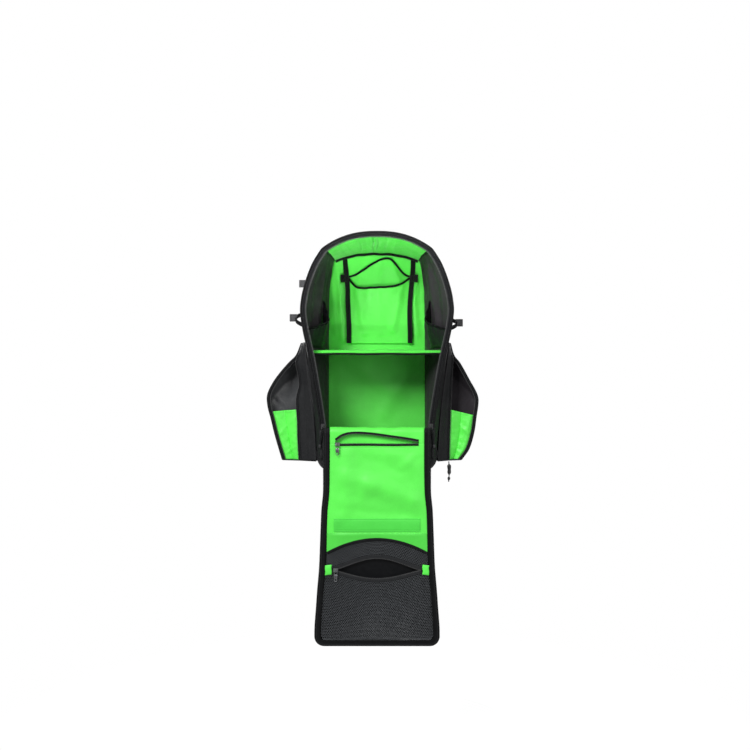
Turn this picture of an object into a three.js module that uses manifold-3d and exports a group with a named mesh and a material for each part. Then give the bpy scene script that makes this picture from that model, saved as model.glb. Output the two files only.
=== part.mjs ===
// A baseball bat backpack, opened: the front panel is unzipped and hangs down, and both side pockets are unzipped.
// It is sewn from panels, and each panel, pocket, strap and zip part is a mesh of its own.
// Millimetres, +Z up, the front of the bag faces -Y, and left and right are those of someone who looks at the front.
// The pieces are worked out with z 0 at the base and y 0 at the inside of the back, and the whole is then moved
// so that the origin is where a hook bears in the haul loop.
import * as THREE from "three";
import { mergeVertices } from "three/addons/utils/BufferGeometryUtils.js";
import Module from "manifold-3d";

// Body
const bagHeight = 556; // base to the top of the arch at the mouth
const backHeight = 538; // base to the top of the arch at the back
const shoulderHeight = 516; // where the sides turn into the arch
const bagDepth = 200; // inside of the back to the mouth
const backWidth = 250; // outside, at the back
const mouthWidth = 326; // inside the zip band, at its widest
const sideBulge = 16; // how far the sides stand out near the front
const baseCornerRadius = 35;
const wall = 4; // padded cloth
const backThickness = 6;
const gap = 0.4; // between pieces that are sewn to each other
const sideFoldDepth = 3;
const sideFoldCount = 3;
const topFoldDepth = 2.4;

// Mouth
const mouthBandWidth = 14; // zip tape and piping round the mouth
const mouthBandThickness = 2.6;
const hingeHeight = 99; // where the front panel is sewn to the fixed lower front
const lowerFrontBulge = 2.5;

const seamTapeWidth = 6; // on the seam between the top and the back

// Shelf between the two compartments
const shelfHeight = 288;
const shelfThickness = 11;
const shelfFall = 6; // the front edge is this much lower than the back edge
const shelfReach = 0.86; // share of the depth that the shelf covers
const shelfBindingHeight = 4;
const shelfSideClearance = 2.6;

// Organiser on the inside of the back
const organiserFoot = 305;
const organiserWidth = 154;
const organiserShift = 6; // to the right of the middle
const rearPocketHeight = 170; // foot to the ends of its mouth
const rearPocketRise = 46;
const rearPocketBow = 5;
const frontPocketHeight = 166;
const frontPocketSag = 26;
const frontPocketBow = 17;
const pocketCloth = 1.5;
const bindingWidth = 5;
const bindingThickness = 1.6;
const organiserStrapWidth = 12;
const organiserStrapTop = 206; // above the organiser's foot
const organiserTabSize = 19;

// Pockets on the inside of the side walls
const wallPocketRear = 0.44; // share of the depth
const wallPocketFront = 0.9;
const wallPocketLift = 2; // above the shelf
const wallPocketHeight = 116; // at its rear end
const wallPocketBow = 22;

// Front panel, hanging
const flapLength = 488; // from the fold to the free end
const flapWidth = 286; // at the free end
const flapCornerRadius = 22;
const flapStandOff = 21; // in front of the mouth
const flapEndStandOff = 15;
const flapFoldRadius = 12;
const flapFoldDrop = 5; // the fold starts this far below the hinge
const flapEdgeWidth = 14;
const flapEdgeFront = 1.5;
const flapShellDepth = 9; // lining's face to the shell's face
const flapShellThickness = 3;
const liningThickness = 1.6;

// Zipped pocket in the lining
const liningZipDrop = 25.5; // below the start of the fold
const liningZipWidth = 190;
const liningZipGape = 23;
const zipTapeWidth = 4.5;
const zipTapeThickness = 1.2;
const liningBandDrop = 196;
const liningBandHeight = 30;
const liningBandWidth = 196;

// Net pocket on the lower part of the front panel
const netTopDrop = 242; // at the middle
const netTopFall = 32; // lower than that at the sides
const netMouthDrop = 313;
const netMouthWidth = 204;
const netMouthRise = 27;
const netMouthSag = 17;
const netThickness = 1.4;
const netBulge = 15;
const netTapeWidth = 7;
const pullTabWidth = 13;
const pullTabHeight = 21;

// Sliders of the mouth's zip, with cord loops
const mouthSliderWidth = 9;
const mouthSliderHeight = 13;
const mouthPullThickness = 3.2;
const cordDiameter = 2.2;
const mouthStem = 44;
const mouthLoopWidth = 15;
const mouthLoopHeight = 26;

// Zip sliders and pullers
const sliderWidth = 11;
const sliderHeight = 9;
const sliderThickness = 3.4;
const bailWire = 1.6;
const bailReach = 4.8;
const bailSpan = 8.6;
const pullerWidth = 8;
const pullerThickness = 1.4;
const pullerLength = 25;
const pullerEyeWidth = 5;
const pullerEyeHeight = 6;
const pullerRim = 1.6;
const pullerPlay = 0.5; // between the bail and the eye that hangs on it
const pullerRingHole = 3;
const pullerStandOff = 1.9; // middle of the puller in front of the slider's face

// Side pockets
const pocketBase = 25;
const pocketTop = 300;
const pocketRearShare = 0.43; // share of the bag's depth where the outer wall is sewn on
const pocketInnerShare = 0.86; // and where the facing is sewn on
const pocketMouthY = 150; // depth of the inner edge of the pocket's mouth
const pocketOuterY = 138; // and of its outer edge
const pocketCorner = 9; // how far the outer wall swells past its edge
const pocketReach = 258; // from the middle of the bag to the widest outer edge
const pocketWall = 2.5;
const pocketBindingWidth = 7;
const pocketBindingThickness = 2.4;
const gussetHeight = 118;
const gussetPleat = 9;

// Bat sleeves and bat straps
const sleeveRadius = 37.5;
const sleeveWall = 2.5;
const sleeveHeight = 165;
const sleeveBase = 28;
const sleeveClearance = 1.4;
const sleeveY = 41;
const batStrapWidth = 10;
const batStrapThickness = 1.8;
const batStrapRearShare = 0.14;
const batStrapFrontShare = 0.7;
const batTabSize = 18;
const batTabThickness = 3;

// Back: shoulder straps, back pad and haul loop
const padWidth = 186;
const padHeight = 320;
const padBase = 88;
const padThickness = 8;
const shoulderStrapWidth = 60;
const shoulderStrapThickness = 11;
const shoulderWebWidth = 25;
const shoulderWebThickness = 2;
const haulLoopWidth = 24;
const haulLoopThickness = 3;
const haulLoopSpan = 68;
const haulLoopFoot = 498;
const haulLoopRise = 62;
const haulLoopStandOff = 16;

// Outline of the body by height, as shares of the shoulder height, the mouth width, the side bulge and the back width.
const OUTLINE = [
  { height: 0.06, mouth: 0.7, bulge: 0.9, back: 1.0 },
  { height: 0.19, mouth: 0.718, bulge: 1.0, back: 1.0 },
  { height: 0.29, mouth: 0.758, bulge: 1.0, back: 1.0 },
  { height: 0.39, mouth: 0.81, bulge: 1.0, back: 1.0 },
  { height: 0.49, mouth: 0.865, bulge: 1.0, back: 1.0 },
  { height: 0.545, mouth: 0.9, bulge: 0.9, back: 1.0 },
  { height: 0.633, mouth: 0.962, bulge: 0.6, back: 1.0 },
  { height: 0.718, mouth: 1.0, bulge: 0.25, back: 1.0 },
  { height: 0.766, mouth: 0.99, bulge: 0.0, back: 1.0 },
  { height: 0.811, mouth: 0.964, bulge: 0.0, back: 1.0 },
  { height: 0.855, mouth: 0.925, bulge: 0.0, back: 0.99 },
  { height: 0.9, mouth: 0.875, bulge: 0.0, back: 0.97 },
  { height: 0.944, mouth: 0.812, bulge: 0.0, back: 0.94 },
  { height: 1.0, mouth: 0.7, bulge: 0.0, back: 0.89 },
];
// Gathers across the top panel: place from the left corner to the right one, width and depth as shares.
const TOP_FOLDS = [
  { place: 0.22, width: 0.05, depth: 0.6 },
  { place: 0.44, width: 0.035, depth: 1.0 },
  { place: 0.53, width: 0.035, depth: 0.9 },
  { place: 0.74, width: 0.06, depth: 0.5 },
];
// Half width of the front panel by the share of its length below the fold.
const FLAP = [
  { drop: 0.0, width: 0.853 },
  { drop: 0.14, width: 0.853 },
  { drop: 0.28, width: 0.862 },
  { drop: 0.37, width: 0.892 },
  { drop: 0.57, width: 0.908 },
  { drop: 0.64, width: 0.92 },
  { drop: 0.76, width: 0.962 },
  { drop: 0.9, width: 0.995 },
  { drop: 1.0, width: 1.0 },
];
// Height of the gaping mouth of the zipped pocket, from its left end to its right end.
const LINING_GAPE = [
  { across: 0.0, open: 0.3 },
  { across: 0.08, open: 0.75 },
  { across: 0.2, open: 1.0 },
  { across: 0.4, open: 0.95 },
  { across: 0.65, open: 0.68 },
  { across: 0.9, open: 0.38 },
  { across: 1.0, open: 0.22 },
];
// Mouths of the organiser's two pockets: how far the rear one rises and the front one sags.
const ORGANISER = [
  { across: 0.0, rise: 0.0, sag: 0.0 },
  { across: 0.06, rise: 0.04, sag: 0.5 },
  { across: 0.13, rise: 0.14, sag: 0.87 },
  { across: 0.21, rise: 0.3, sag: 1.0 },
  { across: 0.41, rise: 0.74, sag: 0.96 },
  { across: 0.53, rise: 0.93, sag: 0.93 },
  { across: 0.62, rise: 1.0, sag: 0.9 },
  { across: 0.72, rise: 0.88, sag: 0.82 },
  { across: 0.85, rise: 0.34, sag: 0.6 },
  { across: 0.94, rise: 0.08, sag: 0.25 },
  { across: 1.0, rise: 0.0, sag: 0.0 },
];
// Height of a wall pocket's mouth from its rear end to its front end.
const WALL_POCKET = [
  { along: 0.0, top: 1.0, bow: 0.05 },
  { along: 0.18, top: 0.72, bow: 0.6 },
  { along: 0.4, top: 0.54, bow: 1.0 },
  { along: 0.7, top: 0.44, bow: 0.85 },
  { along: 1.0, top: 0.36, bow: 0.05 },
];
// Edges of the side pockets by height, as shares of the pocket's height and of its reach.
const LEFT_POCKET = [
  { height: 0.0, inner: 0.705, outer: 0.864 },
  { height: 0.21, inner: 0.717, outer: 0.93 },
  { height: 0.36, inner: 0.72, outer: 0.969 },
  { height: 0.46, inner: 0.729, outer: 0.996 },
  { height: 0.55, inner: 0.725, outer: 1.0 },
  { height: 0.64, inner: 0.7, outer: 0.96 },
  { height: 0.73, inner: 0.71, outer: 0.895 },
  { height: 0.83, inner: 0.73, outer: 0.803 },
  { height: 0.89, inner: 0.715, outer: 0.74 },
  { height: 1.0, inner: 0.675, outer: 0.69 },
];
const RIGHT_POCKET = [
  { height: 0.0, inner: 0.651, outer: 0.772 },
  { height: 0.09, inner: 0.651, outer: 0.838 },
  { height: 0.23, inner: 0.655, outer: 0.884 },
  { height: 0.36, inner: 0.659, outer: 0.905 },
  { height: 0.51, inner: 0.663, outer: 0.924 },
  { height: 0.58, inner: 0.667, outer: 0.903 },
  { height: 0.68, inner: 0.671, outer: 0.845 },
  { height: 0.83, inner: 0.68, outer: 0.756 },
  { height: 0.89, inner: 0.68, outer: 0.705 },
  { height: 1.0, inner: 0.655, outer: 0.67 },
];
// Bat straps: heights of the ends and of the tab, how far the tab stands from the middle, and where it points.
const BAT_STRAPS = [
  { name: "bat_strap_left_upper", side: -1, rear: 462, tab: 447, front: 436, reach: 172, turned: false },
  { name: "bat_strap_left_lower", side: -1, rear: 388, tab: 364, front: 336, reach: 195, turned: false },
  { name: "bat_strap_right_upper", side: 1, rear: 462, tab: 447, front: 436, reach: 168, turned: true },
  { name: "bat_strap_right_lower", side: 1, rear: 374, tab: 352, front: 330, reach: 192, turned: false },
];
// Shoulder strap, from its sewn top to the end of the pad and on down the webbing.
const SHOULDER_PATH = [
  { part: "pad", x: 55, back: 1.6, z: 462 },
  { part: "pad", x: 55, back: 24, z: 458 },
  { part: "pad", x: 65, back: 50, z: 410 },
  { part: "pad", x: 79, back: 60, z: 335 },
  { part: "pad", x: 92, back: 52, z: 255 },
  { part: "pad", x: 99, back: 40, z: 205 },
  { part: "web", x: 103, back: 27, z: 140 },
  { part: "web", x: 106, back: 8, z: 66 },
  { part: "web", x: 106, back: 2.2, z: 40 },
];

const BLACK = 0x1c1e20;
const GREEN = 0x4be04a;
const cloth = (colour, roughness) =>
  new THREE.MeshStandardMaterial({ color: colour, roughness, metalness: 0 });
const blackCloth = cloth(BLACK, 0.8);
const blackWebbing = cloth(0x141516, 0.75);
const blackNet = cloth(0x191b1d, 0.9);
const greenLining = cloth(GREEN, 0.5);
const padding = cloth(0x202224, 0.9);
const rubber = cloth(0x111213, 0.6);
const zipMetal = new THREE.MeshStandardMaterial({ color: 0x8b8d90, roughness: 0.35, metalness: 0.9 });

const wasm = await Module();
wasm.setup();
const bag = new THREE.Group();

const mix = (a, b, share) => a + (b - a) * share;
const clamp = (value, low, high) => Math.min(high, Math.max(low, value));
const vec = (x, y, z) => new THREE.Vector3(x, y, z);

// Smooth value of one column of a table at a place in its first-named column.
function lookup(table, placeColumn, valueColumn, place) {
  const last = table.length - 1;
  const at = clamp(place, table[0][placeColumn], table[last][placeColumn]);
  let i = 0;
  while (i < last - 1 && at > table[i + 1][placeColumn]) i += 1;
  const row = (k) => table[clamp(k, 0, last)];
  const [x0, x1, x2, x3] = [i - 1, i, i + 1, i + 2].map((k) => row(k)[placeColumn]);
  const [y0, y1, y2, y3] = [i - 1, i, i + 1, i + 2].map((k) => row(k)[valueColumn]);
  const step = x2 - x1;
  const share = (at - x1) / step;
  const startSlope = ((y2 - y0) / (x2 - x0)) * step;
  const endSlope = ((y3 - y1) / (x3 - x1)) * step;
  const square = share * share;
  const cube = square * share;
  return (
    (2 * cube - 3 * square + 1) * y1 +
    (cube - 2 * square + share) * startSlope +
    (3 * square - 2 * cube) * y2 +
    (cube - square) * endSlope
  );
}

// Six times the signed volume inside a list of triangles.
function signedVolume(points, triangles) {
  let sum = 0;
  for (let i = 0; i < triangles.length; i += 3) {
    const [a, b, c] = [points[triangles[i]], points[triangles[i + 1]], points[triangles[i + 2]]];
    sum += a.dot(b.clone().cross(c));
  }
  return sum;
}

// A closed geometry from points and triangles, turned so that its faces point out.
function closedGeometry(points, triangles) {
  if (signedVolume(points, triangles) < 0) triangles.reverse();
  const geometry = new THREE.BufferGeometry().setFromPoints(points);
  geometry.setIndex(triangles);
  geometry.computeVertexNormals();
  return geometry;
}

// A sheet of cloth: a grid of near points, the same grid stepped by an offset, and walls round the edge.
function sheetGeometry({ point, offset, across, along }) {
  const near = [];
  const far = [];
  for (let j = 0; j <= along; j += 1)
    for (let i = 0; i <= across; i += 1) {
      const [u, v] = [i / across, j / along];
      near.push(point(u, v));
      far.push(point(u, v).add(offset(u, v)));
    }
  const points = [...near, ...far];
  const other = near.length;
  const triangles = [];
  const quad = (a, b, c, d) => triangles.push(a, b, c, a, c, d);
  const id = (i, j) => j * (across + 1) + i;
  for (let j = 0; j < along; j += 1)
    for (let i = 0; i < across; i += 1) {
      const [a, b, c, d] = [id(i, j), id(i + 1, j), id(i + 1, j + 1), id(i, j + 1)];
      quad(a, b, c, d);
      quad(other + d, other + c, other + b, other + a);
    }
  for (let i = 0; i < across; i += 1) {
    quad(id(i + 1, 0), id(i, 0), other + id(i, 0), other + id(i + 1, 0));
    quad(id(i, along), id(i + 1, along), other + id(i + 1, along), other + id(i, along));
  }
  for (let j = 0; j < along; j += 1) {
    quad(id(0, j), id(0, j + 1), other + id(0, j + 1), other + id(0, j));
    quad(id(across, j + 1), id(across, j), other + id(across, j), other + id(across, j + 1));
  }
  return closedGeometry(points, triangles);
}

// Offset of a sheet along its own surface normal; a negative thickness goes the other way.
function alongNormal(point, thickness) {
  const step = 0.008;
  return (u, v) => {
    const acrossStep = point(u + step, v).sub(point(u - step, v));
    const alongStep = point(u, v + step).sub(point(u, v - step));
    return acrossStep.cross(alongStep).setLength(Math.abs(thickness)).multiplyScalar(Math.sign(thickness));
  };
}

const byVector = (x, y, z) => () => vec(x, y, z);

function addMesh(name, geometry, material) {
  const mesh = new THREE.Mesh(geometry, material);
  mesh.name = name;
  bag.add(mesh);
  return mesh;
}

function addSheet(name, material, sheet) {
  return addMesh(name, sheetGeometry(sheet), material);
}

// A strap along a smooth curve, with its width along one direction or along one that turns.
function strapGeometry({ places, widthAt, thickness, widthDirection, widthTurning, steps }) {
  const curve = new THREE.CatmullRomCurve3(places, false, "centripetal");
  const frameAt = (v) => {
    const tangent = curve.getTangentAt(clamp(v, 0, 1));
    const wide = widthTurning ? widthTurning(v) : widthDirection.clone();
    const side = wide.addScaledVector(tangent, -wide.dot(tangent)).normalize();
    return { middle: curve.getPointAt(clamp(v, 0, 1)), side, normal: side.clone().cross(tangent).normalize() };
  };
  return sheetGeometry({
    across: 1,
    along: steps,
    point: (u, v) => {
      const { middle, side, normal } = frameAt(v);
      return middle.addScaledVector(side, (u - 0.5) * widthAt(v)).addScaledVector(normal, -thickness / 2);
    },
    offset: (u, v) => frameAt(v).normal.multiplyScalar(thickness),
  });
}

function toManifold(geometry) {
  const bare = geometry.index ? geometry.clone() : mergeVertices(geometry.clone());
  bare.deleteAttribute("normal");
  bare.deleteAttribute("uv");
  const merged = mergeVertices(bare, 1e-4);
  return new wasm.Manifold(
    new wasm.Mesh({
      numProp: 3,
      vertProperties: new Float32Array(merged.attributes.position.array),
      triVerts: new Uint32Array(merged.index.array),
    }),
  );
}

function fused(...geometries) {
  const [first, ...rest] = geometries.map(toManifold);
  const made = rest.reduce((sum, next) => sum.add(next), first).getMesh();
  const geometry = new THREE.BufferGeometry();
  geometry.setAttribute("position", new THREE.BufferAttribute(new Float32Array(made.vertProperties), 3));
  geometry.setIndex(new THREE.BufferAttribute(new Uint32Array(made.triVerts), 1));
  geometry.computeVertexNormals();
  return geometry;
}

// An open tube closed with a fan at each end.
function capped(tube, sides) {
  const place = tube.attributes.position;
  const rings = place.count / (sides + 1);
  const points = [];
  const triangles = [];
  for (let j = 0; j < rings; j += 1)
    for (let i = 0; i < sides; i += 1) points.push(vec(0, 0, 0).fromBufferAttribute(place, j * (sides + 1) + i));
  for (let j = 0; j + 1 < rings; j += 1)
    for (let i = 0; i < sides; i += 1) {
      const [a, b] = [j * sides + i, j * sides + ((i + 1) % sides)];
      triangles.push(a, b, b + sides, a, b + sides, a + sides);
    }
  for (let i = 1; i + 1 < sides; i += 1) {
    const last = (rings - 1) * sides;
    triangles.push(0, i + 1, i, last, last + i, last + i + 1);
  }
  return closedGeometry(points, triangles);
}

function boxGeometry(width, depth, height, x, y, z) {
  return new THREE.BoxGeometry(width, depth, height).translate(x, y, z);
}

// Body outline
const backHalf = (z) => (backWidth / 2) * lookup(OUTLINE, "height", "back", z / shoulderHeight);
const mouthHalf = (z) => (mouthWidth / 2) * lookup(OUTLINE, "height", "mouth", z / shoulderHeight);
const frontHalf = (z) => mouthHalf(z) + mouthBandWidth;

// Outside half width of the body at a height and at a share of its depth.
function bodyHalf(z, depthShare) {
  const bulge = sideBulge * lookup(OUTLINE, "height", "bulge", z / shoulderHeight);
  const upper = clamp((z / shoulderHeight - 0.5) / 0.15, 0, 1) * clamp((1 - z / shoulderHeight) / 0.12, 0, 1);
  const fold = sideFoldDepth * upper * Math.sin(2 * Math.PI * sideFoldCount * depthShare);
  const fade = 4 * clamp(depthShare, 0, 1) * clamp(1 - depthShare, 0, 1);
  return (
    mix(backHalf(z), frontHalf(z), depthShare ** 2) + bulge * Math.sin(Math.PI * depthShare ** 3) + fold * fade
  );
}

function archHeight(across, depthShare) {
  const top = mix(backHeight, bagHeight, depthShare);
  let folds = 0;
  for (const row of TOP_FOLDS) {
    const away = (across - row.place) / row.width;
    folds += topFoldDepth * row.depth * Math.exp(-away * away);
  }
  const fade = 4 * clamp(depthShare, 0, 1) * clamp(1 - depthShare, 0, 1);
  return mix(shoulderHeight, top, 1 - Math.abs(2 * across - 1) ** 2.4) - folds * fade;
}

// The body's outer surface. Going round: 0 to 1 up the right side, to 2 over the arch, to 3 down the left side,
// and to 4 along the base with its two round corners.
function ringPoint(round, depthShare) {
  const at = ((round % 4) + 4) % 4;
  const y = -bagDepth * depthShare;
  if (at <= 1) {
    const z = mix(baseCornerRadius, shoulderHeight, at);
    return vec(bodyHalf(z, depthShare), y, z);
  }
  if (at <= 2) {
    const share = at - 1;
    return vec(bodyHalf(shoulderHeight, depthShare) * (1 - 2 * share), y, archHeight(1 - share, depthShare));
  }
  if (at <= 3) {
    const z = mix(shoulderHeight, baseCornerRadius, at - 2);
    return vec(-bodyHalf(z, depthShare), y, z);
  }
  const half = bodyHalf(baseCornerRadius, depthShare);
  const cornerShare = 0.2;
  const along = at - 3;
  const toCorner = Math.min(along, 1 - along) / cornerShare;
  const side = along < 0.5 ? -1 : 1;
  if (toCorner < 1) {
    const angle = (toCorner * Math.PI) / 2;
    return vec(side * (half - baseCornerRadius * (1 - Math.cos(angle))), y, baseCornerRadius * (1 - Math.sin(angle)));
  }
  const flat = (along - cornerShare) / (1 - 2 * cornerShare);
  return vec(mix(-1, 1, flat) * (half - baseCornerRadius), y, 0);
}

function bodyPanel(name, from, to, material, across, along) {
  const inset = 0.0006;
  const point = (u, v) => ringPoint(mix(from + inset, to - inset, u), v);
  const ringStep = 0.012;
  const towardsInside = (u, v) => {
    const round = mix(from + inset, to - inset, u);
    const roundStep = ringPoint(round + ringStep, v).sub(ringPoint(round - ringStep, v));
    const depthStep = ringPoint(round, v + ringStep).sub(ringPoint(round, v - ringStep));
    const inward = depthStep.cross(roundStep);
    return inward.setY(0).setLength(wall);
  };
  addSheet(name, material, { point, offset: towardsInside, across, along });
}

function makeBody() {
  bodyPanel("side_panel_right", 0, 1, blackCloth, 11, 8);
  bodyPanel("top_panel", 1, 2, greenLining, 18, 4);
  bodyPanel("side_panel_left", 2, 3, blackCloth, 11, 8);
  bodyPanel("base_pan", 3, 4, blackCloth, 15, 4);

  const outlineSteps = 48;
  const outline = [];
  for (let i = 0; i < outlineSteps; i += 1) {
    const p = ringPoint((4 * i) / outlineSteps, 0);
    outline.push(new THREE.Vector2(p.x, p.z));
  }
  const plate = new THREE.ExtrudeGeometry(new THREE.Shape(outline), { depth: backThickness, bevelEnabled: false });
  plate.rotateX(Math.PI / 2).translate(0, gap + backThickness, 0);
  addMesh("back_panel", plate, greenLining);

  const lowerTop = hingeHeight - 2;
  addSheet("lower_front_panel", blackCloth, {
    across: 8,
    along: 5,
    point: (u, v) => {
      const z = lowerTop * v ** 1.6;
      const half = bodyHalf(Math.max(z, baseCornerRadius), 1);
      const sunk = Math.max(0, baseCornerRadius - z);
      const corner = baseCornerRadius - Math.sqrt(baseCornerRadius ** 2 - sunk ** 2);
      const bulge = lowerFrontBulge * (1 - (2 * u - 1) ** 2) * Math.sin(Math.PI * v);
      return vec((2 * u - 1) * (half - corner), -(bagDepth + gap + bulge), z);
    },
    offset: byVector(0, -wall, 0),
  });
}

// The band of zip tape round the mouth, in three lengths that meet at the corners of the arch.
function mouthBand(name, from, to, along) {
  const flat = (round) => ringPoint(round, 1);
  addSheet(name, blackWebbing, {
    across: 1,
    along,
    point: (u, v) => {
      const round = mix(from, to, v);
      const tangent = flat(round + 0.01).sub(flat(round - 0.01)).normalize();
      const p = flat(round);
      const inward = mouthBandWidth * u;
      return vec(p.x - tangent.z * inward, -(bagDepth + gap), p.z + tangent.x * inward);
    },
    offset: byVector(0, -mouthBandThickness, 0),
  });
}

function makeMouthBand() {
  const start = (hingeHeight + gap - baseCornerRadius) / (shoulderHeight - baseCornerRadius);
  const seam = 0.0005;
  mouthBand("mouth_zip_right", start, 1 - seam, 15);
  mouthBand("mouth_zip_top", 1 + seam, 2 - seam, 16);
  mouthBand("mouth_zip_left", 2 + seam, 3 - start, 15);
}

// The slider at the end of the mouth's zip, with a loop of cord to pull it by.
function makeMouthPull(side) {
  const x = side * (frontHalf(hingeHeight) - mouthBandWidth / 2);
  const rear = -(bagDepth + mouthBandThickness + 2 * gap);
  const y = rear - mouthPullThickness / 2;
  const slider = boxGeometry(
    mouthSliderWidth,
    mouthPullThickness,
    mouthSliderHeight,
    x,
    y,
    hingeHeight + mouthSliderHeight / 2 + 1,
  );
  const cordX = x + side * 7;
  const cordY = -(bagDepth + gap + wall + lowerFrontBulge + cordDiameter);
  const stemTop = hingeHeight + 4;
  const loopTop = stemTop - mouthStem;
  const loopMiddle = loopTop - mouthLoopHeight / 2;
  const stem = new THREE.TubeGeometry(
    new THREE.CatmullRomCurve3([
      vec(x, y, stemTop),
      vec(x + side * 2, cordY - 1, stemTop - 9),
      vec(cordX, cordY, loopTop - cordDiameter / 2),
    ]),
    5,
    cordDiameter / 2,
    5,
    false,
  );
  const loopPlaces = [];
  for (let i = 0; i < 10; i += 1) {
    const angle = (i / 10) * 2 * Math.PI;
    loopPlaces.push(
      vec(cordX + (Math.sin(angle) * mouthLoopWidth) / 2, cordY, loopMiddle + (Math.cos(angle) * mouthLoopHeight) / 2),
    );
  }
  const loop = new THREE.TubeGeometry(new THREE.CatmullRomCurve3(loopPlaces, true), 14, cordDiameter / 2, 5, true);
  addMesh(`mouth_pull_${side < 0 ? "left" : "right"}`, fused(slider, capped(stem, 5), loop), rubber);
}

// The taped seam between the top panel and the back, on the inside.
function makeBackSeam() {
  const half = backHalf(shoulderHeight) - wall - 2.4;
  const depthShare = 0.02;
  addSheet("back_seam_tape", blackWebbing, {
    across: 1,
    along: 16,
    point: (u, v) => {
      const under = wall + 1.6 + seamTapeWidth * u;
      return vec((2 * v - 1) * (half - 1.6 * u), -bagDepth * depthShare, archHeight(mix(0.035, 0.965, v), depthShare) - under);
    },
    offset: byVector(0, -1.4, 0),
  });
}

const shelfAt = (depthShare) => shelfHeight - shelfFall * depthShare;
const shelfHalf = (depthShare) => bodyHalf(shelfAt(depthShare), depthShare) - wall - shelfSideClearance;

function makeShelf() {
  addSheet("shelf", greenLining, {
    across: 8,
    along: 6,
    point: (u, v) => {
      const share = mix(0.01, shelfReach, v);
      return vec((2 * u - 1) * shelfHalf(share), -bagDepth * share, shelfAt(share));
    },
    offset: byVector(0, 0, -shelfThickness),
  });
  const front = bagDepth * shelfReach + gap;
  addSheet("shelf_binding", blackWebbing, {
    across: 8,
    along: 1,
    point: (u, v) =>
      vec(
        (2 * u - 1) * shelfHalf(shelfReach),
        -front,
        shelfAt(shelfReach) - shelfThickness + shelfBindingHeight * v,
      ),
    offset: byVector(0, -2, 0),
  });
}

// Organiser: a rear and a front pocket between two straps, each pocket with a bound mouth.
const organiserX = (u) => organiserShift + (u - 0.5) * organiserWidth;
const rearMouth = (u) => rearPocketHeight + rearPocketRise * lookup(ORGANISER, "across", "rise", u);
const frontMouth = (u) => frontPocketHeight - frontPocketSag * lookup(ORGANISER, "across", "sag", u);

function organiserPocket(name, mouth, bow, base) {
  const depthAt = (u, share) => base + bow * Math.sin(Math.PI * u) * clamp(share, 0, 1) ** 1.5;
  addSheet(name, greenLining, {
    across: 14,
    along: 3,
    point: (u, v) => vec(organiserX(u), -depthAt(u, v), organiserFoot + mouth(u) * v),
    offset: byVector(0, -pocketCloth, 0),
  });
  addSheet(`${name}_binding`, blackWebbing, {
    across: 1,
    along: 14,
    point: (u, v) =>
      vec(
        organiserX(v),
        -(depthAt(v, 1) + pocketCloth + gap),
        organiserFoot + mouth(v) - bindingWidth * (1 - u) + 0.8,
      ),
    offset: byVector(0, -bindingThickness, 0),
  });
}

function organiserStrap(side) {
  const x = organiserX(side < 0 ? 0 : 1);
  const lying = 2 * (pocketCloth + gap) + 2 * bindingThickness + 3.6;
  const lean = 9;
  const strap = strapGeometry({
    places: [
      vec(x + lean * side, -(bindingThickness + 1), organiserFoot + organiserStrapTop),
      vec(x + 0.8 * lean * side, -lying, organiserFoot + rearPocketHeight + 14),
      vec(x + 0.4 * lean * side, -lying, organiserFoot + frontPocketHeight - 20),
      vec(x, -lying, organiserFoot + 70),
      vec(x, -lying, organiserFoot),
    ],
    widthAt: () => organiserStrapWidth,
    thickness: bindingThickness,
    widthDirection: vec(1, 0, 0),
    steps: 8,
  });
  const tabX = x + side * (organiserStrapWidth / 2 + organiserTabSize / 4);
  const tab = boxGeometry(
    organiserTabSize,
    bindingThickness * 0.8,
    organiserTabSize,
    tabX,
    -lying,
    organiserFoot + frontPocketHeight - organiserTabSize / 2 + 6,
  );
  addMesh(`organiser_strap_${side < 0 ? "left" : "right"}`, fused(strap, tab), blackWebbing);
}

function makeOrganiser() {
  organiserPocket("organiser_rear_pocket", rearMouth, rearPocketBow, 1);
  organiserPocket("organiser_front_pocket", frontMouth, frontPocketBow, 1 + pocketCloth + bindingThickness + 2 * gap);
  organiserStrap(-1);
  organiserStrap(1);
}

// A pocket on the inside of a side wall, with a slanting mouth.
function makeWallPocket(side) {
  const foot = shelfHeight + wallPocketLift;
  const away = wall * 1.25 + 1;
  const point = (u, v) => {
    const share = mix(wallPocketRear, wallPocketFront, u);
    const top = wallPocketHeight * lookup(WALL_POCKET, "along", "top", u);
    const z = foot + top * v;
    const bow = wallPocketBow * lookup(WALL_POCKET, "along", "bow", u) * Math.sqrt(clamp(v, 0, 1));
    return vec(side * (bodyHalf(z, share) - away - bow), -bagDepth * share, z);
  };
  addSheet(`wall_pocket_${side < 0 ? "left" : "right"}`, blackCloth, {
    across: 8,
    along: 4,
    point,
    offset: byVector(-side * pocketCloth, 0, 0),
  });
}

// A point of the hanging front panel: across it, down it from the start of the fold, and lifted towards the front.
// Above the start of the fold the drop is negative and the panel turns back over the edge of the lower front.
function flapPoint(x, drop, lift) {
  const foldStart = hingeHeight - flapFoldDrop;
  if (drop >= 0) {
    const standOff = mix(flapStandOff, flapEndStandOff, clamp(drop / flapLength, 0, 1));
    return vec(x, -(bagDepth + standOff + lift), foldStart - drop);
  }
  const angle = -drop / flapFoldRadius;
  const radius = flapFoldRadius + lift;
  const middle = bagDepth + flapStandOff - flapFoldRadius;
  return vec(x, -(middle + radius * Math.cos(angle)), foldStart + radius * Math.sin(angle));
}

// Half width of the front panel with its two round lower corners.
function flapHalf(drop) {
  const straight = (flapWidth / 2) * lookup(FLAP, "drop", "width", drop / flapLength);
  const sunk = clamp(drop - (flapLength - flapCornerRadius), 0, flapCornerRadius);
  return straight - (flapCornerRadius - Math.sqrt(flapCornerRadius ** 2 - sunk ** 2));
}

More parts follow.
